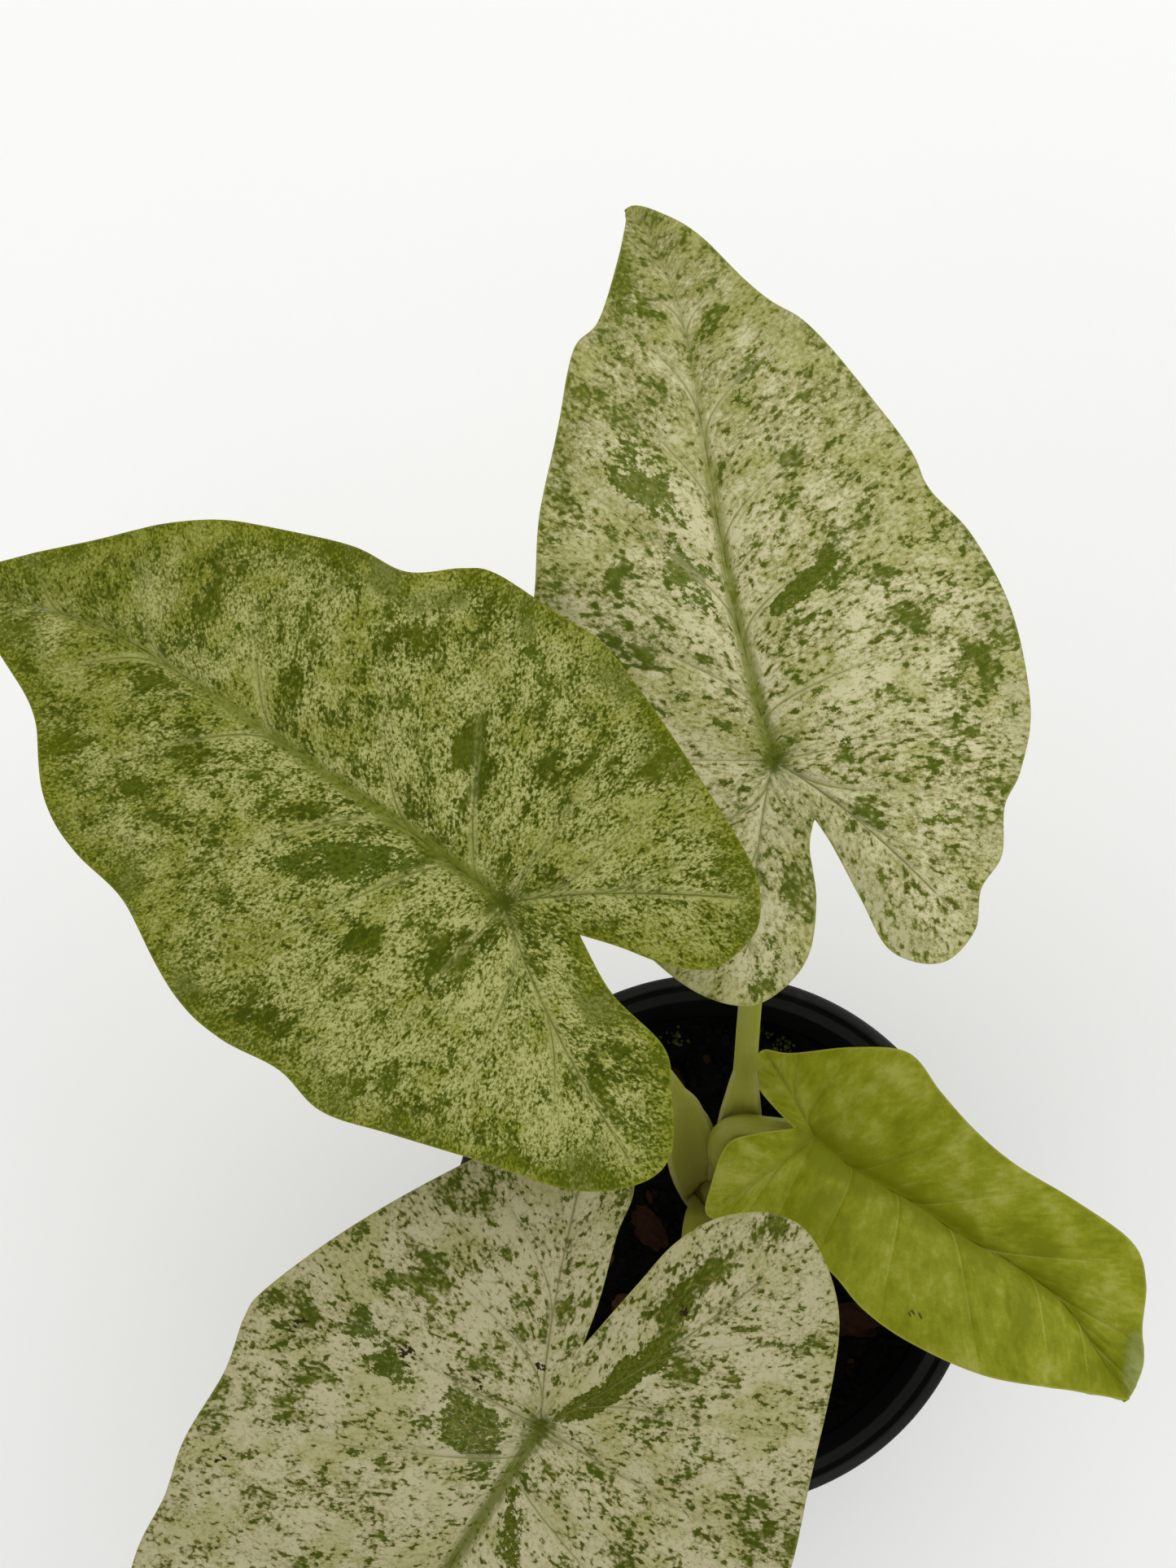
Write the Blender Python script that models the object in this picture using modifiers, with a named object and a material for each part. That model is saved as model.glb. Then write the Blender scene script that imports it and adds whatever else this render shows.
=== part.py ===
"""Young batik alocasia in a nursery pot: pot, potting mix, sheathed stems and four heart-shaped blades.

Lengths in the tables are millimetres and angles are degrees. The origin is the middle of the pot's
underside, +Z is up. Each blade has its own frame: origin where the stalk meets it, +X along the
midrib to the tip, +Y to the blade's left and +Z out of its upper face.
"""

import math
from collections import namedtuple

import bmesh
import bpy
import numpy as np
from mathutils import Matrix, Vector

MM = 0.001
GAP = 0.3
WELD = 0.00001
SAMPLES_PER_SPAN = 12

# Pot
POT_HEIGHT = 92.0
RIM_RADIUS = 54.0
RIM_BAND_HEIGHT = 10.0
RIM_STEP = 2.0
FOOT_RADIUS = 37.0
WALL = 1.2
LIP = 1.6
LIP_ROUND = 0.4
DRAFT = 0.4
FLOOR = 1.8
FOOT_CHAMFER = 1.5
SLOPE_FOOT = 4.0
FLOOR_INSET = WALL + FOOT_CHAMFER
POT_SIDES = 40
DRAIN_COUNT = 6
DRAIN_RADIUS = 4.0
DRAIN_RING_RADIUS = 26.0

# Potting mix
MIX_LEVEL = 68.0
MIX_RELIEF = 2.2
MIX_RINGS = 9
MIX_WAVES = ((0.31, 0.12, 0.4), (-0.17, 0.35, 1.9), (0.52, -0.41, 2.7), (0.66, 0.58, 0.9),
             (-0.83, 0.21, 4.1))
CHUNK_COUNT = 14
CHUNK_SIZE = (3.0, 6.5)
CHUNK_TILT = 0.4
CHUNK_FROM_WALL = 8.0
CHUNK_FROM_CROWN = 15.0
CHUNK_SEED = 7
GOLDEN_ANGLE = math.pi * (3 - math.sqrt(5))

# Crown, the foot of the stems
CROWN_CENTRE = (0.5, 9.5)
CROWN_PROFILE = ((4.0, 40.0), (6.6, 44.0), (7.2, 52.0), (7.0, 66.0), (5.6, 74.0), (3.0, 79.0))
CROWN_SIDES = 20

# Blades
BLADE_THICKNESS = 0.8
KEEL_DEPTH = 2.6
VEIN_DEPTH = 1.2
VEIN_RELIEF = 0.7
ROWS_ABOVE_JUNCTION = 12
ROWS_BELOW_JUNCTION = 8
ROW_BUNCHING = 1.5
COLUMNS = (0.0, 0.07, 0.27, 0.5, 0.74, 0.92, 1.0)
JUNCTION_FRACTION = 0.66
FAN_MARGIN = (0.0, 0.25, 0.39, 0.58, JUNCTION_FRACTION, 0.74, 0.82, 0.90, 1.0)
FAN_SPINE = (0.0, 0.49, 0.75, 0.97, 1.0, 1.04, 1.14, 1.38, 2.0)
LOBE_VEIN_REACH = 0.92
LOBE_VEIN_BEND = (0.32, 0.6)
LOBE_SPREAD = 0.75
RELIEF_FLATNESS = 0.6
VEIN_END = 0.9
ROUNDING = 3.0

Blade = namedtuple("Blade", "name colour junction yaw pitch length lobe_length half_width droop "
                            "lobe_droop fold camber wave waves midrib right left sinus")
Side = namedtuple("Side", "outer inner")

CREAM = (0.52, 0.53, 0.30)
YELLOW_CREAM = (0.42, 0.46, 0.17)
WHITE_CREAM = (0.55, 0.53, 0.38)
LIME = (0.33, 0.36, 0.04)

BLADES = (
    Blade("blade_upper", CREAM, (10.9, 84.1, 197.0), 103.1, 10.0, 105.0, 45.0, 46.0,
          10.0, 6.0, 0.22, 11.0, 1.2, 5.0,
          midrib=((0, 0), (30, 0), (61, -2), (92, -4), (118, -2)),
          right=Side(outer=((106, -12), (90, -20), (82, -26), (70, -32), (52, -38), (44, -39.5), (34, -45),
                            (18, -48), (0, -47), (-12, -42), (-18, -37.5), (-26, -35), (-31, -30),
                            (-38, -27)),
                     inner=((-42, -20), (-38, -12), (-28, -9), (-18, -6.5))),
          left=Side(outer=((108, 4), (94, 11.5), (89, 17), (74, 23), (58, 30), (43, 34), (31, 38),
                           (16, 41.5), (-6, 40), (-17, 35), (-27, 31), (-37, 23), (-41.5, 15)),
                    inner=((-40, 8), (-35, 2), (-26, -1.5), (-17, -2.5))),
          sinus=(-12, -4.5)),
    Blade("blade_left", YELLOW_CREAM, (-35.6, 57.1, 216.0), 150.2, 9.0, 112.0, 48.0, 48.0,
          10.0, 6.0, 0.22, 11.0, 1.4, 5.0,
          midrib=((0, 0), (11, -1.5), (28, -3.5), (55, -6), (89, -8.5), (110, -5.5), (126, -4)),
          right=Side(outer=((117, -10), (105, -20), (86, -33), (75, -38), (57, -42), (46, -42.5), (38, -48),
                            (32, -50), (18, -48.5), (9, -48), (-1, -44), (-17, -36), (-33, -27),
                            (-38, -22)),
                     inner=((-40, -16), (-37, -8), (-30, -4.5), (-21, -3))),
          left=Side(outer=((107, 5), (94, 12), (83, 24), (74, 29), (60, 32.5), (44, 42), (33, 44.5),
                           (20, 44), (10, 46.5), (-2, 44), (-20, 40), (-35, 36.5), (-44, 30)),
                    inner=((-46, 23), (-41, 14), (-36, 8), (-24, 4.5))),
          sinus=(-14, -1.5)),
    Blade("blade_lower", WHITE_CREAM, (-30.6, -32.9, 190.0), -121.6, 10.0, 125.0, 56.0, 55.0,
          14.0, 7.0, 0.22, 12.0, 1.2, 4.0,
          midrib=((0, 0), (30, -1), (70, -3), (105, -4), (139, -2)),
          right=Side(outer=((132, -8), (118, -18), (100, -31), (80, -43), (61, -50), (47, -51), (36, -53),
                            (22, -53), (12, -55), (6, -54.5), (-10, -48), (-26, -39.5), (-42, -29),
                            (-51, -20)),
                     inner=((-51.5, -13), (-44, -7.5), (-36, -6), (-25, -2.8))),
          left=Side(outer=((132, 5), (120, 14), (102, 26), (82, 37), (62, 45), (45, 49), (28, 52), (12, 52),
                           (-2, 50), (-17, 45), (-36, 38.5), (-46, 33), (-53, 24)),
                    inner=((-53.5, 16), (-48, 8), (-40, 3.5), (-30, 1.5))),
          sinus=(-16, -1)),
    Blade("blade_young", LIME, (19.6, 19.6, 122.0), -40.2, -8.0, 82.0, 28.0, 32.0,
          8.0, 6.0, 0.45, 12.0, 0.4, 2.0,
          midrib=((0, 0), (11, 0.5), (22, 2.5), (35, 4), (47, 6), (59, 6), (78, 0)),
          right=Side(outer=((69, -5.5), (55, -14), (40, -18.5), (29, -19.5), (19, -18), (8, -19.5),
                            (0, -22.5), (-6, -25)),
                     inner=((-9, -20.5), (-12, -12), (-9, -6.5))),
          left=Side(outer=((77, 6), (72, 12), (67, 20), (60, 24), (47, 23), (34, 21), (24, 21), (14, 22.5),
                           (4, 24.5), (-5, 18.5), (-14, 10), (-19, 7)),
                    inner=((-18.5, 3.5), (-15, 0), (-9, -0.5))),
          sinus=(-4, -1)),
)

# Stalks: the path of the middle line, its radius at foot and top, and the half width of the sheath
Stalk = namedtuple("Stalk", "name blade path radii sheath")
STALK_SIDES = 14
STALK_RINGS = (0.0, 0.04, 0.08, 0.12, 0.16, 0.20, 0.23, 0.26, 0.29, 0.32, 0.36, 0.44, 0.54, 0.64,
               0.75, 0.87, 1.0)
TANGENT_STEP = 0.01
FRONT_RISE = 0.4
SHEATH_WALL = 0.9
SHEATH_CURL = 6.0
SHEATH_TAPER = 1.4

STALKS = (
    Stalk("stalk_upper", "blade_upper",
          ((2.2, 11, 66), (3.0, 14, 82), (4.9, 20.9, 98), (6.1, 31, 122), (7.0, 43.4, 145), (8.9, 63, 174)),
          (2.6, 2.0),
          ((0.0, 3.6), (0.10, 4.6), (0.18, 5.4), (0.23, 4.6), (0.26, 3.2), (0.29, 2.2), (0.32, 0.0))),
    Stalk("stalk_left", "blade_left",
          ((-1.8, 8, 66), (-4.9, 16.8, 92), (-6.3, 24.1, 108), (-7.8, 28.4, 118), (-17.9, 40.1, 150),
           (-28.4, 51, 190)),
          (2.7, 2.1),
          ((0.0, 3.8), (0.08, 5.4), (0.16, 6.4), (0.23, 6.8), (0.26, 6.4), (0.29, 4.0), (0.32, 0.0))),
    Stalk("stalk_lower", "blade_lower",
          ((-0.8, 7, 66), (-3.4, 4.9, 85), (-4.9, -3.6, 105), (-9.7, -12.6, 128), (-16.3, -21.3, 150),
           (-24, -28.2, 170)),
          (2.6, 2.1), ((0.0, 3.4), (0.10, 3.6), (0.20, 0.0))),
    Stalk("stalk_young", "blade_young",
          ((1.8, 11, 66), (1.0, 15.5, 88), (1.2, 20, 104), (4.5, 22.4, 111.5), (10.5, 22.0, 114),
           (15.5, 21.2, 115.5)),
          (2.4, 2.0), ((0.0, 2.4), (0.2, 2.4), (0.45, 0.0))),
)


def clear_scene():
    for obj in list(bpy.data.objects):
        bpy.data.objects.remove(obj, do_unlink=True)


def new_collection(name):
    collection = bpy.data.collections.new(name)
    bpy.context.scene.collection.children.link(collection)
    return collection


def material(name, colour, roughness):
    made = bpy.data.materials.new(name)
    made.use_nodes = True
    shader = made.node_tree.nodes["Principled BSDF"]
    shader.inputs["Base Color"].default_value = (*colour, 1.0)
    shader.inputs["Roughness"].default_value = roughness
    return made


def new_object(name, mesh, collection, surface=None):
    obj = bpy.data.objects.new(name, mesh)
    collection.objects.link(obj)
    if surface is not None:
        mesh.materials.append(surface)
    return obj


def as_cutter(obj):
    obj.hide_render = True
    obj.display_type = "WIRE"
    return obj


def mesh_from_bmesh(name, shape, smooth_angle=40.0):
    mesh = bpy.data.meshes.new(name)
    shape.to_mesh(mesh)
    shape.free()
    mesh.shade_smooth()
    mesh.set_sharp_from_angle(angle=math.radians(smooth_angle))
    return mesh


def boolean(obj, operation, operand=None, operands=None):
    modifier = obj.modifiers.new(operation.lower(), "BOOLEAN")
    modifier.operation = operation
    modifier.solver = "EXACT"
    if operands is not None:
        modifier.operand_type = "COLLECTION"
        modifier.collection = operands
    else:
        modifier.object = operand
    return modifier


def apply_modifiers(obj):
    """Replaces the object's mesh by what its modifiers make of it."""
    depsgraph = bpy.context.evaluated_depsgraph_get()
    mesh = bpy.data.meshes.new_from_object(obj.evaluated_get(depsgraph))
    obj.modifiers.clear()
    obj.data = mesh


def smooth_line(points):
    """Catmull-Rom line through all the points, with SAMPLES_PER_SPAN samples between neighbours."""
    p = np.array(points, dtype=float)
    p = np.vstack((2 * p[0] - p[1], p, 2 * p[-1] - p[-2]))
    t = np.linspace(0.0, 1.0, SAMPLES_PER_SPAN, endpoint=False)[:, None]
    spans = []
    for a, b, c, d in zip(p[:-3], p[1:-2], p[2:-1], p[3:]):
        square = (2 * a - 5 * b + 4 * c - d) * t**2
        cube = (3 * b - a - 3 * c + d) * t**3
        spans.append(0.5 * (2 * b + (c - a) * t + square + cube))
    return np.vstack(spans + [p[-2:-1]])


def along(line, fractions):
    """Points at the given fractions of a line's length."""
    steps = np.linalg.norm(np.diff(line, axis=0), axis=1)
    reached = np.concatenate(([0.0], np.cumsum(steps))) / steps.sum()
    return np.column_stack([np.interp(fractions, reached, line[:, k]) for k in range(line.shape[1])])


def blade_height(blade, flat):
    """Height of the upper face over the blade's plane: arched along, V-folded and cambered across."""
    x, y = flat[..., 0], flat[..., 1]
    midrib = smooth_line(blade.midrib)
    across = y - np.interp(x, midrib[:, 0], midrib[:, 1])
    tip_arch = blade.droop * (x / blade.length) ** 2
    arch = np.where(x > 0, tip_arch, blade.lobe_droop * (x / blade.lobe_length) ** 2)
    fold = blade.fold * (np.sqrt(across**2 + ROUNDING**2) - ROUNDING)
    camber = blade.camber * (across / blade.half_width) ** 2
    return fold - camber - arch


def spine_points(blade, side_end, stations):
    """Stations 0 to 1 run down the midrib from tip to junction, 1 to 2 down the lobe's vein."""
    midrib = smooth_line(blade.midrib[::-1])
    end = LOBE_VEIN_REACH * np.array(side_end, dtype=float)
    bend = end * LOBE_VEIN_BEND
    t = np.clip(stations - 1.0, 0.0, 1.0)[:, None]
    lobe_vein = 2 * t * (1 - t) * bend + t**2 * end
    on_midrib = along(midrib, np.clip(stations, 0.0, 1.0))
    return np.where(stations[:, None] <= 1.0, on_midrib, lobe_vein)


def rows_down_the_spine():
    """Margin fractions and spine stations of the rows, bunched towards the round end of the lobe."""
    upper = np.linspace(0.0, JUNCTION_FRACTION, ROWS_ABOVE_JUNCTION + 1)
    left_over = np.linspace(1.0, 0.0, ROWS_BELOW_JUNCTION + 1)[1:] ** ROW_BUNCHING
    lower = 1.0 - (1.0 - JUNCTION_FRACTION) * left_over
    margin = np.concatenate((upper, lower))
    return margin, np.interp(margin, FAN_MARGIN, FAN_SPINE)


def half_blade_patches(blade, side):
    """The outer patch (midrib and lobe vein to the outer margin) and the inner patch of the lobe."""
    whole = smooth_line((blade.midrib[-1],) + side.outer + side.inner + (blade.sinus,))
    lobe_end = SAMPLES_PER_SPAN * len(side.outer)
    outer_margin, inner_margin = whole[: lobe_end + 1], whole[lobe_end:][::-1]
    fractions, stations = rows_down_the_spine()
    v = np.array(COLUMNS)[None, :, None]

    spine = spine_points(blade, side.outer[-1], stations)[:, None, :]
    outer = spine * (1 - v) + along(outer_margin, fractions)[:, None, :] * v
    across = v[0, :, 0]
    on_vein = np.arange(len(stations)) % 2 == 0
    ripple = np.where(on_vein, 0.0, VEIN_RELIEF)[:, None] * np.sin(np.pi * across) ** RELIEF_FLATNESS
    wave = blade.wave * across**3 * np.sin(2 * np.pi * blade.waves * fractions)[:, None]
    outer_height = blade_height(blade, outer) + ripple + wave
    keel = np.interp(stations, (0.0, 1.0, 2.0), (BLADE_THICKNESS, KEEL_DEPTH, BLADE_THICKNESS))[:, None]
    vein = np.where(on_vein[:, None] & (across < VEIN_END), VEIN_DEPTH, BLADE_THICKNESS)
    outer_depth = np.where(across == 0.0, keel, vein)

    below = stations >= 1.0
    reach = (stations[below] - 1.0) ** LOBE_SPREAD
    inner = spine[below] * (1 - v) + along(inner_margin, reach)[:, None, :] * v
    inner_depth = np.where(across == 0.0, keel[below], BLADE_THICKNESS)
    return (
        (np.dstack((outer, outer_height)), outer_depth),
        (np.dstack((inner, blade_height(blade, inner))), inner_depth),
    )


def add_patch(shape, points, depths, depth_layer, flip):
    """Adds a grid of triangles; every quad is split on the diagonal that ends at its lower spine corner."""
    grid = [[shape.verts.new(Vector(p) * MM) for p in row] for row in points]
    for row, values in zip(grid, depths):
        for vert, depth in zip(row, values):
            vert[depth_layer] = float(depth)
    for upper, lower in zip(grid, grid[1:]):
        for k in range(len(upper) - 1):
            a, b, c, d = upper[k], upper[k + 1], lower[k + 1], lower[k]
            for corners in ((a, b, d), (b, c, d)):
                shape.faces.new(corners[::-1] if flip else corners)


def make_blade(blade, collection):
    """Open triangulated surface of the upper face, given its thickness downwards by Solidify."""
    shape = bmesh.new()
    depth_layer = shape.verts.layers.float.new("depth")
    for side, sign in ((blade.right, 1), (blade.left, -1)):
        outer, inner = half_blade_patches(blade, side)
        add_patch(shape, *outer, depth_layer, flip=sign > 0)
        add_patch(shape, *inner, depth_layer, flip=sign < 0)
    bmesh.ops.remove_doubles(shape, verts=shape.verts, dist=WELD)
    depths = [vert[depth_layer] for vert in shape.verts]
    mesh = mesh_from_bmesh(blade.name, shape, smooth_angle=60.0)
    obj = new_object(blade.name, mesh, collection, material(blade.name, blade.colour, 0.42))
    group = obj.vertex_groups.new(name="depth")
    for index, depth in enumerate(depths):
        group.add([index], depth / KEEL_DEPTH, "REPLACE")
    solid = obj.modifiers.new("thickness", "SOLIDIFY")
    solid.thickness = KEEL_DEPTH * MM
    solid.offset = -1.0
    solid.vertex_group = "depth"
    obj.matrix_world = blade_frame(blade)
    return obj


def blade_frame(blade):
    """Place and turn of the blade; a positive pitch lowers the tip."""
    heading = Matrix.Rotation(math.radians(blade.yaw), 4, "Z")
    pitch = Matrix.Rotation(math.radians(blade.pitch), 4, "Y")
    return Matrix.Translation(Vector(blade.junction) * MM) @ heading @ pitch


def stalk_top(blade):
    """Where the stalk ends, just under the blade's keel, and the blade's normal there, in mm."""
    frame = blade_frame(blade)
    normal = (frame.to_3x3() @ Vector((0, 0, 1))).normalized()
    return np.array(blade.junction) - np.array(normal) * (KEEL_DEPTH + GAP), np.array(normal)


def stalk_section(radius, sheath):
    """Closed outline of the stalk: a circle that opens into a curled sheath as its half width grows.

    The first half runs along the back from edge to edge, the second returns along the channel.
    """
    half = STALK_SIDES // 2
    s = np.linspace(-1.0, 1.0, half + 1)
    angle = np.pi * (1.5 + 0.5 * s)
    half_circle = np.column_stack((np.cos(angle), np.sin(angle)))
    circle = np.vstack((half_circle, half_circle[-2:0:-1] * (1, -1)))
    weight = min(1.0, sheath / radius)
    curl = s * sheath / SHEATH_CURL
    line = SHEATH_CURL * np.column_stack((np.sin(curl), 1 - np.cos(curl)))
    normal = np.column_stack((-np.sin(curl), np.cos(curl)))
    wall = (SHEATH_WALL / 2 + (radius - SHEATH_WALL) * (1 - np.abs(s)) ** SHEATH_TAPER)[:, None]
    back = line - normal * wall
    channel = (line + normal * np.minimum(wall, SHEATH_WALL))[-2:0:-1]
    return (1 - weight) * radius * circle + weight * np.vstack((back, channel))


def make_stalk(stalk, collection):
    """Loft along the stalk's path; the last ring lies flat under the blade."""
    blade = next(b for b in BLADES if b.name == stalk.blade)
    top, blade_normal = stalk_top(blade)
    fractions = np.array(STALK_RINGS)
    line = smooth_line(stalk.path + (tuple(top),))
    centres = along(line, fractions)
    chords = (along(line, np.minimum(fractions + TANGENT_STEP, 1.0))
              - along(line, np.maximum(fractions - TANGENT_STEP, 0.0)))
    tangents = chords / np.linalg.norm(chords, axis=1)[:, None]
    lean = centres[-1] - centres[0]
    upper_side = np.array((-lean[0], -lean[1], FRONT_RISE * np.linalg.norm(lean)))
    radii = np.interp(fractions, (0.0, 1.0), stalk.radii)
    sheaths = np.interp(fractions, *zip(*stalk.sheath), right=0.0)

    shape = bmesh.new()
    rings = []
    for centre, tangent, radius, sheath in zip(centres, tangents, radii, sheaths):
        front = upper_side - tangent * upper_side.dot(tangent)
        front /= np.linalg.norm(front)
        side = np.cross(front, tangent)
        outline = stalk_section(radius, sheath)
        rings.append(centre + outline[:, :1] * side + outline[:, 1:] * front)
    slide = ((centres[-1] - rings[-1]) @ blade_normal) / (tangents[-1] @ blade_normal)
    rings[-1] = rings[-1] + slide[:, None] * tangents[-1]

    verts = [[shape.verts.new(Vector(p) * MM) for p in ring] for ring in rings]
    for lower, upper in zip(verts, verts[1:]):
        for k in range(STALK_SIDES):
            n = (k + 1) % STALK_SIDES
            shape.faces.new((lower[k], lower[n], upper[n], upper[k]))
    shape.faces.new(verts[0][::-1])
    shape.faces.new(verts[-1])
    bmesh.ops.triangulate(shape, faces=shape.faces)
    bmesh.ops.recalc_face_normals(shape, faces=shape.faces)
    return new_object(stalk.name, mesh_from_bmesh(stalk.name, shape), collection)


def turned(name, profile, sides, collection, centre=(0.0, 0.0)):
    """Closed turned body from (radius, height) points in mm that run down its outer side, top to bottom."""
    mesh = bpy.data.meshes.new(name)
    points = [(radius * MM, 0.0, height * MM) for radius, height in profile]
    mesh.from_pydata(points, [(k, k + 1) for k in range(len(points) - 1)], [])
    obj = new_object(name, mesh, collection)
    obj.location = (centre[0] * MM, centre[1] * MM, 0.0)
    screw = obj.modifiers.new("turn", "SCREW")
    screw.steps = sides
    screw.render_steps = sides
    screw.use_merge_vertices = True
    screw.merge_threshold = WELD
    screw.use_smooth_shade = True
    return obj


def fuse(obj, others):
    """Joins a collection of objects to one, and removes them and the collection."""
    bpy.context.view_layer.update()
    boolean(obj, "UNION", operands=others)
    apply_modifiers(obj)
    for other in list(others.objects):
        bpy.data.objects.remove(other, do_unlink=True)
    bpy.data.collections.remove(others)
    obj.data.materials.clear()


def make_stems(collection):
    """Crown and the four stalks that grow from it, joined into one body."""
    profile = ((0.0, CROWN_PROFILE[-1][1]),) + CROWN_PROFILE[::-1] + ((0.0, CROWN_PROFILE[0][1]),)
    stems = turned("stems", profile, CROWN_SIDES, collection, CROWN_CENTRE)
    apply_modifiers(stems)
    shoots = new_collection("shoots")
    for stalk in STALKS:
        make_stalk(stalk, shoots)
    fuse(stems, shoots)
    stems.data.shade_smooth()
    stems.data.set_sharp_from_angle(angle=math.radians(50.0))
    stems.data.materials.append(material("stems", (0.42, 0.42, 0.18), 0.45))
    return stems


def wall_radius(height):
    """Outer radius of the tapered wall below the rim band."""
    top = POT_HEIGHT - RIM_BAND_HEIGHT
    return FOOT_RADIUS + (RIM_RADIUS - LIP - RIM_STEP - FOOT_RADIUS) * height / top


def make_pot(collection, cutters):
    """Thin turned wall with a lip, a stepped rim band for stacking and a floor with drainage holes."""
    band = RIM_RADIUS - LIP + WALL / 2
    ledge = POT_HEIGHT - RIM_BAND_HEIGHT
    profile = (
        (band - WALL, POT_HEIGHT - LIP),
        (band - WALL + LIP_ROUND, POT_HEIGHT),
        (RIM_RADIUS - LIP_ROUND, POT_HEIGHT),
        (RIM_RADIUS, POT_HEIGHT - LIP_ROUND),
        (RIM_RADIUS, POT_HEIGHT - LIP),
        (band, POT_HEIGHT - LIP - LIP_ROUND),
        (band - DRAFT, ledge + LIP_ROUND),
        (wall_radius(ledge), ledge),
        (FOOT_RADIUS, FLOOR),
        (FOOT_RADIUS - FOOT_CHAMFER, 0.0),
        (0.0, 0.0),
        (0.0, FLOOR),
        (FOOT_RADIUS - FLOOR_INSET, FLOOR),
        (wall_radius(SLOPE_FOOT) - WALL, SLOPE_FOOT),
        (wall_radius(ledge) - WALL, ledge + LIP_ROUND),
        (band - WALL - DRAFT, ledge + WALL + LIP_ROUND),
        (band - WALL, POT_HEIGHT - LIP),
    )
    pot = turned("pot", profile, POT_SIDES, collection)
    drill = bmesh.new()
    for k in range(DRAIN_COUNT):
        angle = 2 * math.pi * (k + 0.4) / DRAIN_COUNT
        place = DRAIN_RING_RADIUS * Vector((math.cos(angle), math.sin(angle), 0.0))
        bmesh.ops.create_cone(drill, cap_ends=True, segments=12, radius1=DRAIN_RADIUS * MM,
                              radius2=DRAIN_RADIUS * MM, depth=6 * FLOOR * MM,
                              matrix=Matrix.Translation(place * MM))
    drills = as_cutter(new_object("drainage_holes", mesh_from_bmesh("drainage_holes", drill), cutters))
    boolean(pot, "DIFFERENCE", operand=drills)
    pot.data.materials.append(material("pot", (0.018, 0.024, 0.021), 0.5))
    return pot


def mix_height(x, y):
    """Crumbled surface: a few crossed waves of unlike length."""
    total = sum(math.sin(a * x + b * y + phase) for a, b, phase in MIX_WAVES)
    return MIX_LEVEL + MIX_RELIEF * total / len(MIX_WAVES)


def mix_plug():
    """Tapered plug that fills the pot up to a crumbled top, level where it meets the wall."""
    rim = wall_radius(MIX_LEVEL) - WALL - GAP
    slope_foot = wall_radius(SLOPE_FOOT) - WALL - GAP
    rings = [(rim * (k + 1) / MIX_RINGS, None) for k in range(MIX_RINGS)]
    rings += [(slope_foot, SLOPE_FOOT + GAP), (FOOT_RADIUS - FLOOR_INSET - GAP, FLOOR + GAP)]
    shape = bmesh.new()
    middle = shape.verts.new((0, 0, mix_height(0, 0) * MM))
    loops = []
    for radius, height in rings:
        loop = []
        for k in range(POT_SIDES):
            angle = 2 * math.pi * k / POT_SIDES
            x, y = radius * math.cos(angle), radius * math.sin(angle)
            level = height
            if level is None:
                level = MIX_LEVEL if radius == rim else mix_height(x, y)
            loop.append(shape.verts.new(Vector((x, y, level)) * MM))
        loops.append(loop)
    for k in range(POT_SIDES):
        n = (k + 1) % POT_SIDES
        shape.faces.new((middle, loops[0][k], loops[0][n]))
        for inner, outer in zip(loops, loops[1:]):
            shape.faces.new((inner[k], outer[k], outer[n], inner[n]))
    shape.faces.new(loops[-1][::-1])
    bmesh.ops.triangulate(shape, faces=shape.faces)
    return shape


def make_chunks(collection):
    """Flat angular lumps of bark, spread evenly over the mix and clear of the crown."""
    draw = np.random.default_rng(CHUNK_SEED)
    reach = wall_radius(MIX_LEVEL) - WALL - GAP - CHUNK_FROM_WALL
    for k in range(CHUNK_COUNT):
        angle = GOLDEN_ANGLE * k + 0.6
        radius = reach * math.sqrt((k + 0.8) / CHUNK_COUNT)
        x, y = radius * math.cos(angle), radius * math.sin(angle)
        if math.hypot(x - CROWN_CENTRE[0], y - CROWN_CENTRE[1]) < CHUNK_FROM_CROWN:
            continue
        size = draw.uniform(*CHUNK_SIZE)
        chunk = bmesh.new()
        bmesh.ops.create_icosphere(chunk, subdivisions=1, radius=1.0)
        for vert in chunk.verts:
            vert.co *= draw.uniform(0.8, 1.15)
        heading = Matrix.Rotation(draw.uniform(0, math.pi), 4, "Z")
        tilt = Matrix.Rotation(draw.uniform(-CHUNK_TILT, CHUNK_TILT), 4, "X")
        stretch = Matrix.Diagonal((size, size * 0.62, size * 0.42, 1.0))
        centre = Vector((x, y, mix_height(x, y) + 0.1 * size))
        chunk.transform(Matrix.Scale(MM, 4) @ Matrix.Translation(centre) @ heading @ tilt @ stretch)
        bmesh.ops.recalc_face_normals(chunk, faces=chunk.faces)
        new_object(f"chunk_{k}", mesh_from_bmesh(f"chunk_{k}", chunk), collection)


def make_mix(collection, cutters):
    """The plug with its lumps of bark, and a hole that the crown stands in."""
    mix = new_object("potting_mix", mesh_from_bmesh("potting_mix", mix_plug()), collection)
    chunks = new_collection("chunks")
    make_chunks(chunks)
    fuse(mix, chunks)
    widest = max(radius for radius, height in CROWN_PROFILE) + GAP
    foot_height = CROWN_PROFILE[0][1] - GAP
    hole = turned("crown_hole", ((0.0, POT_HEIGHT), (widest, POT_HEIGHT), (widest, foot_height),
                                 (0.0, foot_height)), CROWN_SIDES, cutters, CROWN_CENTRE)
    boolean(mix, "DIFFERENCE", operand=as_cutter(hole))
    mix.data.materials.append(material("potting_mix", (0.022, 0.014, 0.010), 0.95))
    return mix


def main():
    clear_scene()
    parts = new_collection("batik_alocasia")
    cutters = new_collection("cutters")
    make_pot(parts, cutters)
    make_mix(parts, cutters)
    make_stems(parts)
    for blade in BLADES:
        make_blade(blade, parts)


main()
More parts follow.
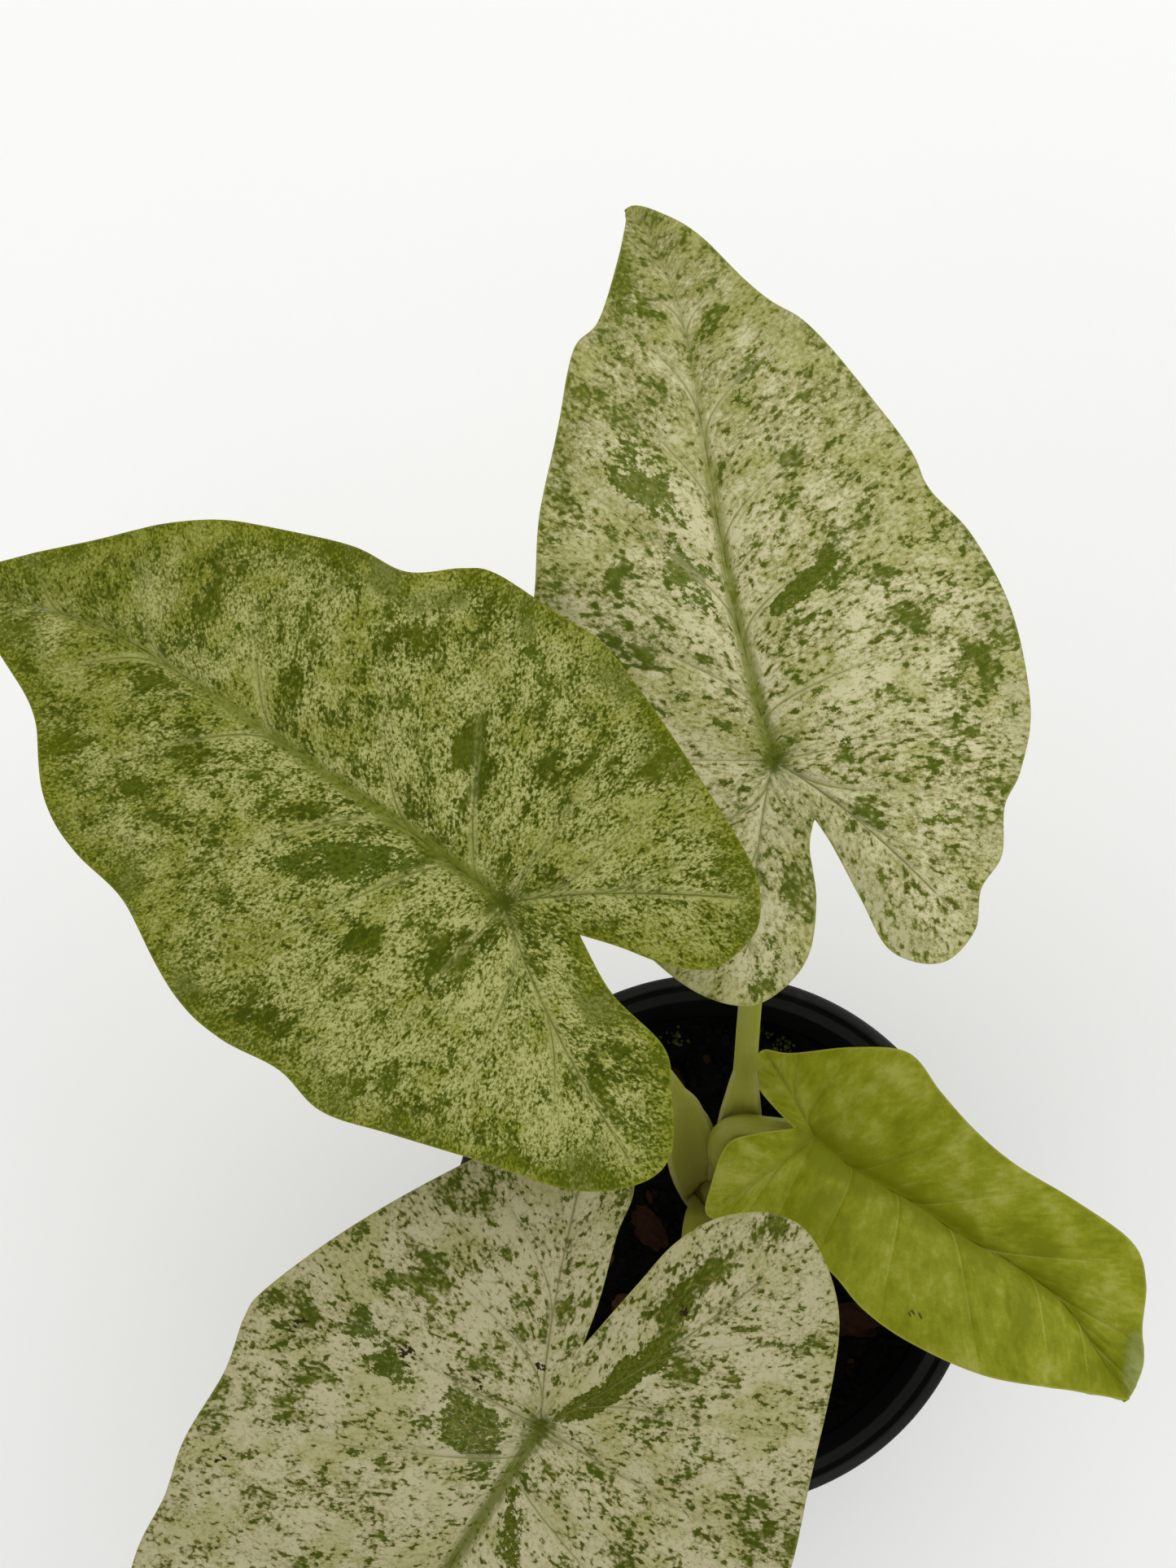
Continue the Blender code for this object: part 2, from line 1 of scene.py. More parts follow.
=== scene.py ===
"""Potted batik alocasia: the looks of the pot, the potting mix, the stems and the four blades.

Tables are in millimetres and degrees, meshes in metres. A blade has its own frame: the origin is where
its stalk meets it, +X runs along the midrib to the tip, +Y to the blade's left, +Z out of its face.
"""

import math
from collections import namedtuple

import bmesh
import bpy
import numpy as np
from bpy.props import FloatProperty, FloatVectorProperty, IntProperty, PointerProperty
from mathutils import Matrix, Vector


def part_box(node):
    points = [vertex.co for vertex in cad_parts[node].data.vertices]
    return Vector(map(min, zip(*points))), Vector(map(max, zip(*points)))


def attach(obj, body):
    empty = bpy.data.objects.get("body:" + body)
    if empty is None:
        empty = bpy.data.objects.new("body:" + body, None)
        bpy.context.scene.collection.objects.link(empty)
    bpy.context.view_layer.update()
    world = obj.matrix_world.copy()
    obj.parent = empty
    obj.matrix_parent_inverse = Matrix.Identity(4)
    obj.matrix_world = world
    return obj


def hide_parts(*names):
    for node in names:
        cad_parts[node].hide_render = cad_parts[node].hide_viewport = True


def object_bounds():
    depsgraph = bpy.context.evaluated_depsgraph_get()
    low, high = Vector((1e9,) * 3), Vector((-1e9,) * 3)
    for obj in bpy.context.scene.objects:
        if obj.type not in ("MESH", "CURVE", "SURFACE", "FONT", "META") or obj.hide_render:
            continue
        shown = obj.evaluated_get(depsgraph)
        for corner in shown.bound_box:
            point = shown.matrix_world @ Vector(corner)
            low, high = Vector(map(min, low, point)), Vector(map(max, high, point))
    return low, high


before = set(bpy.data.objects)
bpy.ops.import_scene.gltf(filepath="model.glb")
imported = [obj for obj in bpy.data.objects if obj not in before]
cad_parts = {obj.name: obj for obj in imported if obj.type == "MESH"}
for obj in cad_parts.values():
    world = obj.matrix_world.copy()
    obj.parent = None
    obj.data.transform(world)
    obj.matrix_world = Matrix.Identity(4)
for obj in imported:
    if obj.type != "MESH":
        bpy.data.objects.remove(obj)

bl_info = {
    "name": "Potted batik alocasia",
    "version": (1, 0, 0),
    "blender": (4, 5, 0),
    "location": "3D View > Sidebar > Alocasia",
    "description": "Builds a young mottled alocasia in its nursery pot, with its light and camera",
    "category": "Add Mesh",
}

CAD_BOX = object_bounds()
BODY = "root"
MM = 0.001
WELD = 1e-7
NOISE_CELLS = 64

# Noise of the materials: what brings it to a spread of about one, and the reach of a colour ramp
FIELD_SPREAD = 15.0
DRAWN_SHARE = 0.45
RAMP_REACH = 3.0

# Pot and mix, sizes in mm
RIM_RADIUS = float(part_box("pot")[1][0]) / MM
POT_HEIGHT = float(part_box("pot")[1][2]) / MM
RIM_BAND_HEIGHT = 10.0
RIM_STEP = 2.0
FOOT_RADIUS = 37.0
FOOT_RING = ((0.0, 0.6), (18.0, 0.6), (20.0, 0.0))
WALL = 1.2
LIP = 1.6
DRAFT = 0.4
FLOOR = 1.8
FOOT_CHAMFER = 1.5
SLOPE_FOOT = 4.0
GAP = 0.3
POT_SIDES = 240
POT_ROUNDINGS = (0.5, 0.5, 0.8, 1.0, 0.9, 0.5, 0.5, 0.3, 0.7, 0.7, 0.6, 0.9, 1.5, 1.5)
CORNER_SHARE = 0.48
CORNER_STEPS = 7
DRAIN_RING_RADIUS = 26.0
DRAIN_TURN = 0.4
DRAIN_SIDES = 48

MIX_LEVEL = 68.0
MIX_RELIEF = 2.2
MIX_WAVES = ((0.31, 0.12, 0.4), (-0.17, 0.35, 1.9), (0.52, -0.41, 2.7), (0.66, 0.58, 0.9),
             (-0.83, 0.21, 4.1))
BED_SIDES = 300
BED_RINGS = 110
BED_SPACING = 0.9
BED_CALM = 4.0
BED_CRUMBS_AT_WALL = 0.35
BED_CRUMBS = ((0.55, 2.3, 21), (0.4, 1.1, 22), (0.22, 0.55, 23))  # height, width and seed of the noise
CHUNK_COUNT = 14
CHUNK_SIZE = (3.0, 6.5)
CHUNK_TILT = 0.4
CHUNK_FROM_WALL = 8.0
CHUNK_FROM_CROWN = 15.0
CHUNK_SEED = 7
CHUNK_LIFT = 0.12
CHUNK_SHAPE = (1.0, 0.62, 0.42)
CHUNK_TURN = 0.6
CHUNK_START = 0.8
GOLDEN_ANGLE = math.pi * (3 - math.sqrt(5))
LOOSE_SEED = 31
LOOSE_FROM_WALL = 1.5
CRUMBS_FROM_CROWN = 8.0
CRUMB_SMALLEST = 0.28
CRUMB_STRETCH = (0.6, 1.2)
CRUMB_LIFT = (0.0, 0.7)
BIT_COUNT = 70
BITS_FROM_CROWN = 12.0
BIT_SIZE = (0.9, 2.4)
BIT_SHAPE = (1.0, 0.55, 0.35)
BIT_LIFT = 0.5
MOSS_CENTRES = ((11.0, 44.0), (-8.0, 43.0), (15.0, 41.0), (-14.0, 41.0), (6.0, 46.0))
MOSS_PER_TUFT = 26
MOSS_SPREAD = 1.4
MOSS_SIZE = (0.25, 0.6)
MOSS_STRETCH = (0.7, 1.3)
MOSS_LIFT = (0.2, 1.4)

# Loose lumps: the largest lean in radians, how far the points are pushed, the ball's level, the seed
Lump = namedtuple("Lump", "piece tilt jitter level seed")
CRUMBS = Lump("mix_crumbs", 1.2, 0.25, 1, 32)
CHIPS = Lump("bark_chips", CHUNK_TILT, 0.16, 3, 8)
BITS = Lump("bark_bits", 0.6, 0.2, 2, 33)
MOSS = Lump("moss_tufts", 1.2, 0.3, 1, 34)

CROWN_CENTRE = (0.5, 9.5)
CROWN_PROFILE = ((4.0, 40.0), (6.6, 44.0), (7.2, 52.0), (7.0, 66.0), (5.6, 74.0), (3.0, 79.0))
CROWN_SIDES = 64
CROWN_AROUND = 7.0
CROWN_RIDGES = ((0.03, 3, 0.7), (0.015, 7, 0.0))  # depth, number and turn

# Blades
BLADE_THICKNESS = 0.8
EDGE_THICKNESS = 0.5
EDGE_TAPER = 1.5
KEEL_DEPTH = 2.6
KEEL_WIDTH = 1.5
VEIN_DEPTH = 1.2
VEIN_WIDTH = 0.7
LOBE_VEIN_REACH = 0.92
LOBE_VEIN_BEND = (0.32, 0.45)
LOBE_SPREAD = 0.75
ROUNDING = 3.0
ROWS_PER_VEIN = 26
OUTER_COLUMNS = 46
INNER_COLUMNS = 26
SPAN_SAMPLES = 24
FAR = 1e3

# Rows of a blade: how far down the midrib a vein starts, the longest share of a row that runs along the
# midrib, the stations over which that ends at the junction, and the shares of the chord that shape the row
VEIN_LEAD = 0.4
FOOT_SHARE = 0.3
FOOT_EASE = 0.12
ROW_LEAD = 0.05
ROW_PULL = 0.55

# Relief of a blade, as (depth, width) of dips and (height, length, distance from the midrib) of swells
PUFF_SHAPE = 0.6
INNER_PUFF = 0.4
RIB_CLEAR = 3.0
VEIN_DIP = (0.30, 0.55)
FINE_DIP = (0.10, 0.4)
CHANNEL_WIDTH = 1.3
WAVE_END = 0.1
SWELL_LONG = (0.35, 11.0, 8.0)
SWELL_SHORT = (0.12, 4.0, 4.0)
LOBE_CALM = ((-30.0, 0.0), (0.2, 1.0))
RIB_TAPER = (0.9, 1.5, 1.05, 0.55)

Blade = namedtuple("Blade", "node piece junction yaw pitch length lobe_length half_width droop lobe_droop "
                            "fold camber wave waves vein_foot puff channel midrib right left sinus "
                            "patches seed")
# outer and inner run round the margin from the tip to the sinus; a vein is (foot on the midrib, aim on the
# margin), a vein of the lobe is (station past the junction, aim)
Side = namedtuple("Side", "outer inner veins lobe_veins")
# Kinds of patches: green and pale hold more or fewer flecks, grey is flat (on the young blade it places a
# painted sheen, a blue-white reflection near the tip), solid is a ribbon of plain green, scar is a burnt spot
Patch = namedtuple("Patch", "x y length width angle strength")
PATCH_FALL = 0.8

BLADES = {
    "upper": Blade(
        node="blade_upper", piece="leaf_upper", junction=(10.9, 84.1, 197.0), yaw=103.1, pitch=10.0,
        length=105.0, lobe_length=45.0, half_width=46.0, droop=10.0, lobe_droop=6.0, fold=0.22,
        camber=11.0, wave=1.2, waves=5.0, vein_foot=9.0, puff=0.8, channel=0.5,
        midrib=((0, 0), (30, 0), (61, -2), (92, -4), (112, -1.5), (118.2, 0.9)),
        right=Side(
            outer=((118, -0.9), (114.5, -4.9), (106, -12), (90, -20), (82, -26), (70, -32), (52, -38),
                   (44, -39.5), (34, -45), (18, -48), (0, -47), (-12, -42), (-18, -37.5), (-26, -35),
                   (-31, -30), (-38, -27)),
            inner=((-42, -20), (-38, -12), (-28, -9), (-18, -6.5)),
            veins=((90, (99, -16)), (67, (84, -25)), (45, (66, -33.5)), (26, (44, -39.5)),
                   (11, (18, -48)), (0, (-3, -46.5))),
            lobe_veins=((1.14, (-17, -38)), (1.45, (-30, -31)))),
        left=Side(
            outer=((116.8, 1.2), (114.5, 1.7), (106, 5), (94, 11.5), (89, 17), (74, 23), (58, 30),
                   (43, 34), (31, 38), (16, 41.5), (-6, 40), (-17, 35), (-27, 31), (-37, 23), (-41.5, 15)),
            inner=((-40, 8), (-35, 2), (-26, -1.5), (-17, -2.5)),
            veins=((92, (104, 7)), (72, (99, 10)), (51, (88, 17)), (29, (67, 26)), (13, (40, 35)),
                   (0, (9, 41.5))),
            lobe_veins=((1.14, (-12, 38)), (1.45, (-30, 29)))),
        sinus=(-12, -4.5),
        patches=dict(
            grey=((60, 12, 20, 9, 28, 1.0), (55, 9.5, 10, 7, 80, 0.7), (36, 6.2, 14, 6.5, 12, 1.0),
                  (46, 3.6, 13, 3.5, 20, 0.7), (73.5, -12, 9, 5, -40, 0.6)),
            solid=((31, -13.5, 17, 4.4, -60, 1.0), (7, -9, 15, 2.0, 75, 0.6),
                   (0.5, -13, 7, 3.6, 20, 0.5)),
            green=((37.5, -22.5, 12, 5, -60, 0.4), (29, -27, 8, 3.5, -70, 0.35),
                   (25.6, 20.3, 14, 4.5, 46, 0.55), (13, -37.5, 8, 5, 60, 0.4),
                   (8.5, -41.5, 7, 5, 0, 0.5), (3, -7, 10, 2, -80, 0.4), (-24.5, 1.2, 8, 5, 10, 0.2),
                   (56, -17, 9, 5, -30, 0.3), (101, 6, 26, 8, 18, 0.4), (87, -8.5, 10, 6, -30, 0.3),
                   (73, -25, 14, 6, -30, 0.12), (112, -2, 16, 12, 0, 0.14), (58, 25, 13, 5, 20, 0.3),
                   (47, 17, 14, 5, -20, 0.22), (-24, -25, 10, 5, 20, 0.2), (-32, -22, 9, 4, 40, 0.3),
                   (20, 30, 24, 14, 60, 0.06), (-4, -30, 24, 10, -70, 0.08),
                   (16, -26, 10, 20, -40, 0.05), (24, -36, 8, 5, 0, 0.2), (42, 15, 24, 16, 40, 0.08),
                   (68, 12, 24, 14, 20, 0.08), (6, -30, 22, 16, -70, 0.08)),
            # The third pale patch, on the left lobe, is partly the lobe's own paler ground and partly painted
            # light: it is made strong to lighten the lobe where it lies in shade
            pale=((-20, -18, 30, 18, 20, 0.1), (4, 20, 22, 12, 60, 0.12), (-34, 12, 18, 18, 0, 0.7),
                  (60, -14, 30, 12, -30, 0.05), (12, -14, 16, 8, -70, 0.08))),
        seed=11.0),
    "left": Blade(
        node="blade_left", piece="leaf_left", junction=(-35.6, 57.1, 216.0), yaw=150.2, pitch=9.0,
        length=112.0, lobe_length=48.0, half_width=48.0, droop=10.0, lobe_droop=6.0, fold=0.22,
        camber=11.0, wave=1.4, waves=5.0, vein_foot=9.0, puff=0.8, channel=0.5,
        midrib=((0, 0), (11, -1.5), (28, -3.5), (55, -6), (89, -8.5), (110, -5.5), (126, -4)),
        right=Side(
            outer=((117, -10), (105, -20), (86, -33), (75, -38), (57, -42), (46, -42.5), (38, -48),
                   (32, -50), (18, -48.5), (9, -48), (-1, -44), (-17, -36), (-33, -27), (-38, -22)),
            inner=((-40, -16), (-37, -8), (-30, -4.5), (-21, -3)),
            veins=((104, (113, -14)), (80, (97, -26)), (53.5, (76, -37.5)), (24, (52, -42.3)),
                   (9.5, (32, -50)), (0, (-4, -42.5))),
            lobe_veins=((1.14, (-18, -35.5)), (1.45, (-30, -29)))),
        left=Side(
            outer=((107, 5), (94, 12), (83, 24), (74, 29), (60, 32.5), (44, 42), (33, 44.5),
                   (20, 44), (10, 46.5), (-2, 44), (-20, 40), (-35, 36.5), (-44, 30)),
            inner=((-46, 23), (-41, 14), (-36, 8), (-24, 4.5)),
            veins=((104, (116, 1.5)), (80, (103, 8)), (54, (87, 20)), (27, (64, 31.5)), (14, (44, 42)),
                   (0, (8, 46.5))),
            lobe_veins=((1.14, (-12, 41.5)), (1.45, (-32, 37.5)))),
        sinus=(-14, -1.5),
        patches=dict(
            grey=((28, 7, 28, 8, 24, 0.85), (75.5, -14, 9, 4.5, 30, 0.8), (17, 15, 12, 7, 30, 0.3)),
            green=((36, 3, 14.3, 6.5, 10, 0.4), (29, 7.5, 6.6, 5.2, 0, 0.5), (64, 3, 24.2, 7.8, 5, 0.34),
                   (65, 15, 17, 7, -20, 0.26), (45, 14, 15, 5, 5, 0.26), (18.4, 17, 7.15, 6.5, 0, 0.55),
                   (2, 9.5, 14.3, 6.5, 50, 0.5), (56, -35, 16, 10, 80, 0.24),
                   (36, -35, 16.5, 12, 30, 0.32), (31, -45, 13.2, 6.5, 0, 0.3),
                   (53, -15.5, 17.6, 7.8, 95, 0.5), (74, -23, 13, 4.5, 80, 0.28),
                   (44, -13.5, 9.9, 4.5, 60, 0.4), (19.5, -21, 11, 5.2, 85, 0.55),
                   (14.5, -13, 12.1, 3.9, 80, 0.4), (-5, -7, 12, 5, -20, 0.25),
                   (-6, -31, 22, 12, 65, 0.22), (4, -24, 14, 7, 70, 0.16),
                   (-26, 17.5, 17.6, 5.9, 145, 0.42), (-31, -14, 14, 7, 20, 0.16),
                   (103, -9, 24.2, 5.2, 5, 0.3), (100, -18, 34, 10, -25, 0.16),
                   (70, -40, 44, 6, -12, 0.1), (100, 8, 40, 10, -8, 0.2), (35, 40, 36, 6, 15, 0.22),
                   (28, 39, 10, 6, 40, 0.25), (-24, 36, 30, 5, 8, 0.14), (-4, 39, 8, 5, 60, 0.25),
                   (83, -2, 20, 6, 15, 0.16), (30, 23, 16, 7, 30, 0.14)),
            pale=((40, 20, 26, 4, 25, 0.1), (66, -20, 16, 7, 70, 0.1), (-16, 20, 30, 8, 140, 0.14),
                  (-27, 26, 24, 18, 40, 0.22), (63, -25, 26, 14, 30, 0.18), (26, -8, 20, 6, 60, 0.1),
                  (8, 4, 16, 4, 40, 0.12), (80, 6, 26, 6, 10, 0.08), (-10, -14, 20, 6, 20, 0.08)),
            scar=((-7.8, -9, 2.4, 0.8, 150, 0.8), (1, -5.4, 1.0, 0.8, 0, 0.9))),
        seed=37.0),
    "lower": Blade(
        node="blade_lower", piece="leaf_lower", junction=(-30.6, -32.9, 190.0), yaw=-121.6, pitch=10.0,
        length=125.0, lobe_length=56.0, half_width=55.0, droop=14.0, lobe_droop=7.0, fold=0.22,
        camber=12.0, wave=1.2, waves=4.0, vein_foot=9.0, puff=0.8, channel=0.5,
        midrib=((0, 0), (30, -1), (70, -3), (105, -4), (139, -2)),
        right=Side(
            outer=((132, -8), (118, -18), (100, -31), (80, -43), (61, -50), (47, -51), (36, -53),
                   (22, -53), (12, -55), (6, -54.5), (-10, -48), (-26, -39.5), (-42, -29), (-51, -20)),
            inner=((-51.5, -13), (-44, -7.5), (-36, -6), (-25, -2.8)),
            veins=((108, (120, -16.5)), (84, (103, -29)), (58, (80, -43)), (32, (58, -50.5)),
                   (9.5, (33, -53)), (0, (2, -53))),
            lobe_veins=((1.14, (-20, -43)), (1.45, (-36, -33)))),
        left=Side(
            outer=((132, 5), (120, 14), (102, 26), (82, 37), (62, 45), (45, 49), (28, 52), (12, 52),
                   (-2, 50), (-17, 45), (-36, 38.5), (-46, 33), (-53, 24)),
            inner=((-53.5, 16), (-48, 8), (-40, 3.5), (-30, 1.5)),
            veins=((108, (121, 13)), (84, (104, 25)), (58, (80, 38)), (34, (54, 47.5)), (12, (26, 52)),
                   (0, (-2, 50))),
            lobe_veins=((1.14, (-24, 42.5)), (1.45, (-42, 35.5)))),
        sinus=(-16, -1),
        patches=dict(
            grey=((6.2, -10.4, 18, 8.5, 55, 1.4), (5, -28, 12, 6.5, 70, 0.75),
                  (0.5, -36, 11, 4, 10, 0.7)),
            solid=((-9, 5.6, 15, 4.6, 152, 1.0), (-19, 9, 12, 6.5, 150, 1.0),
                   (17, 4.6, 19, 3.8, 30, 0.75)),
            green=((-30, 9, 22, 7, 165, 0.34), (-42, 13, 14, 5, 155, 0.18), (-0.5, 9, 10, 4, 80, 0.34),
                   (-26, -28, 18, 10, 50, 0.16), (-14, -28, 14, 9, -40, 0.2),
                   (-2, -24, 12, 6, -60, 0.14), (-3, -46, 9, 4, 60, 0.3), (0.5, -37, 6, 5, 0, 0.3),
                   (8, -45, 17, 9, 67, 0.24), (-17.4, -7, 7, 3.4, 20, 0.34), (2, 36, 22, 12, 60, 0.08),
                   (-12, 46, 16, 5, 25, 0.2), (30, 16, 24, 14, 40, 0.07), (-24, 12, 14, 3, 150, 0.2),
                   (12, 22, 18, 10, 60, 0.1), (90, -4, 40, 18, 0, 0.06), (122, 0, 24, 16, 0, 0.12),
                   (24, -27, 8, 5, 30, 0.12)),
            pale=((26, -34, 34, 12, -60, 0.1), (-38, 22, 26, 16, 150, 0.16), (4, 13, 14, 4, 60, 0.08),
                  (-10, 22, 22, 10, 110, 0.1), (-22, -14, 16, 8, 40, 0.1)),
            scar=((-9.3, -5.3, 2.6, 1.4, 70, 1.0), (-1, -13.6, 2.2, 1.6, 20, 0.9),
                  (1, -26.5, 4.0, 2.4, 30, 0.7), (7, -46.2, 3.4, 1.6, 0, 0.8),
                  (35.1, -45.7, 2.2, 0.9, 60, 1.0), (-30.8, 10.5, 3.0, 0.8, 80, 0.9))),
        seed=71.0),
    "young": Blade(
        node="blade_young", piece="leaf_young", junction=(19.6, 19.6, 122.0), yaw=-40.2, pitch=-8.0,
        length=82.0, lobe_length=28.0, half_width=32.0, droop=8.0, lobe_droop=6.0, fold=0.45, camber=12.0,
        wave=0.4, waves=2.0, vein_foot=3.0, puff=0.35, channel=0.9,
        midrib=((0, 0), (11, 0.5), (22, 2.5), (35, 4), (47, 6), (59, 6), (78, 0)),
        right=Side(
            outer=((69, -5.5), (55, -14), (40, -18.5), (29, -19.5), (19, -18), (8, -19.5),
                   (0, -22.5), (-6, -25)),
            inner=((-9, -20.5), (-12, -12), (-9, -6.5)),
            veins=((62, (72, -3.5)), (50, (66, -7.5)), (32, (54, -14.5)), (20, (33, -19.4)),
                   (10, (16, -18.2)), (0, (6, -20))),
            lobe_veins=((1.3, (0, -22.5)), (1.6, (-3, -24)))),
        left=Side(
            outer=((77.6, 3.0), (75.9, 7.6), (71.7, 12.4), (66.7, 19.7), (60, 23.8), (47, 23), (34, 21),
                   (24, 21), (14, 22.5), (4, 24.5), (-5, 18.5), (-14, 10), (-19, 7)),
            inner=((-18.5, 3.5), (-15, 0.7), (-9, -0.5)),
            veins=((66, (77.5, 3)), (55, (74, 9.5)), (40, (65, 21.6)), (24, (43, 22.5)), (11, (24, 21)),
                   (0, (6, 24.3))),
            lobe_veins=((1.2, (-5, 18.5)), (1.5, (-13, 10.8)))),
        sinus=(-4, -1),
        patches=dict(
            # On this blade the grey patches place the painted sheen, a blue-white reflection near the tip
            grey=((74.8, 6.4, 14, 5, 125, 0.75), (30, 18, 40, 3, 0, 0.25)),
            pale=((70, 8, 16, 14, 50, 0.12), (10, 20, 30, 5, 5, 0.3), (-4, -12, 14, 9, 70, 0.3)),
            green=((58, 2, 44, 22, 0, 0.28), (50, 10, 30, 8, 0, 0.25), (12, -14, 16, 5, 10, 0.25)),
            scar=((36.3, -13.9, 2.2, 0.9, 69, 1.0), (38.2, -13.3, 1.6, 0.8, -31, 1.0))),
        seed=93.0),
}

# Stalks: the path of the middle line, its radius at foot and top, and the half width of the sheath
Stalk = namedtuple("Stalk", "blade path radii sheath")
STALK_SIDES = 56
STALK_RINGS = 150
TANGENT_STEP = 0.01
FRONT_RISE = 0.4
SHEATH_WALL = 0.9
SHEATH_CURL = 6.0
SHEATH_TAPER = 1.4
SHEATH_END = 1.02
SHEATH_ROUND = 0.08
STALK_AROUND = 2.4
TOP_FLARE = (0.93, 1.15)
TENON = 0.9
PART_SHIFT = 40.0

STALKS = (
    Stalk("upper",
          ((2.2, 11, 66), (3.0, 14, 82), (4.9, 20.9, 98), (6.1, 31, 122), (7.0, 43.4, 145), (8.9, 63, 174)),
          (2.6, 2.0),
          ((0.0, 3.6), (0.10, 4.6), (0.2, 5.2), (0.3, 4.6), (0.36, 3.6), (0.42, 2.4), (0.5, 0.0))),
    Stalk("left",
          ((-1.8, 8, 66), (-4.9, 16.8, 92), (-6.3, 24.1, 108), (-7.8, 28.4, 118), (-17.9, 40.1, 150),
           (-28.4, 51, 190)),
          (2.7, 2.1),
          ((0.0, 3.8), (0.08, 5.4), (0.16, 6.5), (0.22, 6.7), (0.27, 5.6), (0.31, 4.0), (0.35, 2.4),
           (0.4, 0.0))),
    Stalk("lower",
          ((-0.8, 7, 66), (-3.4, 4.9, 85), (-4.9, -3.6, 105), (-9.7, -12.6, 128), (-16.3, -21.3, 150),
           (-24, -28.2, 170)),
          (2.6, 2.1), ((0.0, 3.4), (0.10, 3.6), (0.20, 0.0))),
    Stalk("young",
          ((1.8, 11, 66), (1.0, 15.5, 88), (1.2, 20, 104), (4.5, 22.4, 111.5), (10.5, 22.0, 114),
           (15.5, 21.2, 115.5)),
          (2.4, 2.0), ((0.0, 2.4), (0.2, 2.4), (0.45, 0.0))),
)

# Stage, in metres and degrees; a lamp has its place, size and share of the key light's power
FLOOR_HALF = 3.0
LAMPS = (("key", (0.85, 1.05, 1.6), 2.2, 1.0), ("fill", (-1.3, -0.6, 1.5), 1.6, 0.35))
LAMP_AIM = (0.0, 0.0, 0.12)
SENSOR_WIDTH = 36.0
CLIP_START = 0.01
CAMERA_PITCH = 7.2515
CAMERA_ROLL = 2.003

# Angles in degrees past which an edge shows as a crease
BLADE_CREASE = 55.0
POT_CREASE = 35.0
LUMP_CREASE = 30.0


def display(red, green, blue):
    """Linear colour of a colour given as it shows on a screen, 0 to 255."""
    shown = np.array((red, green, blue)) / 255.0
    return tuple(np.where(shown <= 0.04045, shown / 12.92, ((shown + 0.055) / 1.055) ** 2.4).tolist())


# Settings

def colour_property(name, description, shown):
    return FloatVectorProperty(name=name, description=description, subtype="COLOR", size=3,
                               min=0.0, max=1.0, default=display(*shown))


def length_property(name, description, default):
    return FloatProperty(name=name, description=description, default=default * MM, unit="LENGTH",
                         subtype="DISTANCE", precision=4)


def number_property(name, description, default, low, high):
    return FloatProperty(name=name, description=description, default=default, min=low, max=high)


def blade_tones(cream, haze, glow, olive, green, dark, grey, rib, coverage, fineness, grit,
                paleness, fading, patchiness, edging):
    """The settings of one mottled blade, with that blade's own defaults."""
    return {
        "cream": colour_property("Cream", "Palest places of the blade", cream),
        "haze": colour_property("Haze", "Ground colour of the blade", haze),
        "glow": colour_property("Glow", "Yellow-green clouds in the ground", glow),
        "olive": colour_property("Olive", "Shaded ground between the flecks", olive),
        "green": colour_property("Green", "Main colour of the flecks", green),
        "dark": colour_property("Dark green", "Heart of the larger flecks", dark),
        "grey": colour_property("Grey-green", "Flat silvery patches", grey),
        "rib": colour_property("Midrib", "Band of fibres along the midrib", rib),
        "coverage": number_property("Coverage", "How much of the blade is flecked", coverage, -2.0, 2.0),
        "fineness": number_property("Fineness", "How small the flecks are", fineness, 0.5, 3.0),
        "grit": number_property("Grit", "Contrast of the fine grains of the ground", grit, 0.0, 2.0),
        "paleness": number_property("Paleness", "How pale the ground is", paleness, -2.0, 2.0),
        "fading": number_property("Fading", "How much darker the ground is toward the tip", fading,
                                  -2.0, 2.0),
        "patchiness": number_property("Patchiness", "How strongly the flecks gather in patches",
                                      patchiness, 0.0, 2.0),
        "edging": number_property("Edging", "How far the margin turns to plain green", edging, 0.0, 1.0),
    }


class UpperTones(bpy.types.PropertyGroup):
    __annotations__ = blade_tones((207, 202, 158), (164, 161, 106), (156, 158, 76), (120, 123, 54),
                                  (98, 107, 30), (76, 88, 14), (98, 110, 38), (116, 123, 40),
                                  -0.3, 1.0, 1.0, 0.4, 0.9, 0.85, 0.3)


class LeftTones(bpy.types.PropertyGroup):
    __annotations__ = blade_tones((176, 177, 112), (126, 130, 58), (128, 133, 32), (92, 98, 14),
                                  (80, 90, 4), (60, 71, 0), (80, 94, 20), (106, 114, 30), 0.05,
                                  1.6, 1.5, 0.25, 0.5, 0.85, 0.75)


class LowerTones(bpy.types.PropertyGroup):
    __annotations__ = blade_tones((184, 178, 140), (154, 149, 104), (148, 147, 76), (114, 114, 48),
                                  (91, 96, 24), (64, 73, 6), (78, 90, 24), (90, 98, 14), -0.1,
                                  1.3, 0.85, 0.75, 0.0, 1.0, 0.1)


class YoungTones(bpy.types.PropertyGroup):
    __annotations__ = {
        "lime": colour_property("Lime", "Ground colour of the new blade", (144, 149, 28)),
        "pale": colour_property("Pale", "Cloudy places and the edge", (170, 172, 74)),
        "deep": colour_property("Deep", "Shaded places between the clouds", (120, 128, 0)),
        "valley": colour_property("Valley", "Hollow along the midrib", (118, 124, 0)),
        "vein": colour_property("Veins", "Thin pale veins", (178, 179, 84)),
        # Painted sheen: a blue-white reflection painted into the colour near the tip
        "sheen": colour_property("Sheen", "Blue-white bloom near the tip", (168, 176, 140)),
    }


class StemTones(bpy.types.PropertyGroup):
    __annotations__ = {
        "skin": colour_property("Skin", "Stalks above the sheath", (154, 158, 58)),
        "groove": colour_property("Groove", "Olive hollow of the sheath", (157, 153, 64)),
        "edge": colour_property("Edge", "Pale edge and foot of the sheath", (172, 168, 100)),
    }


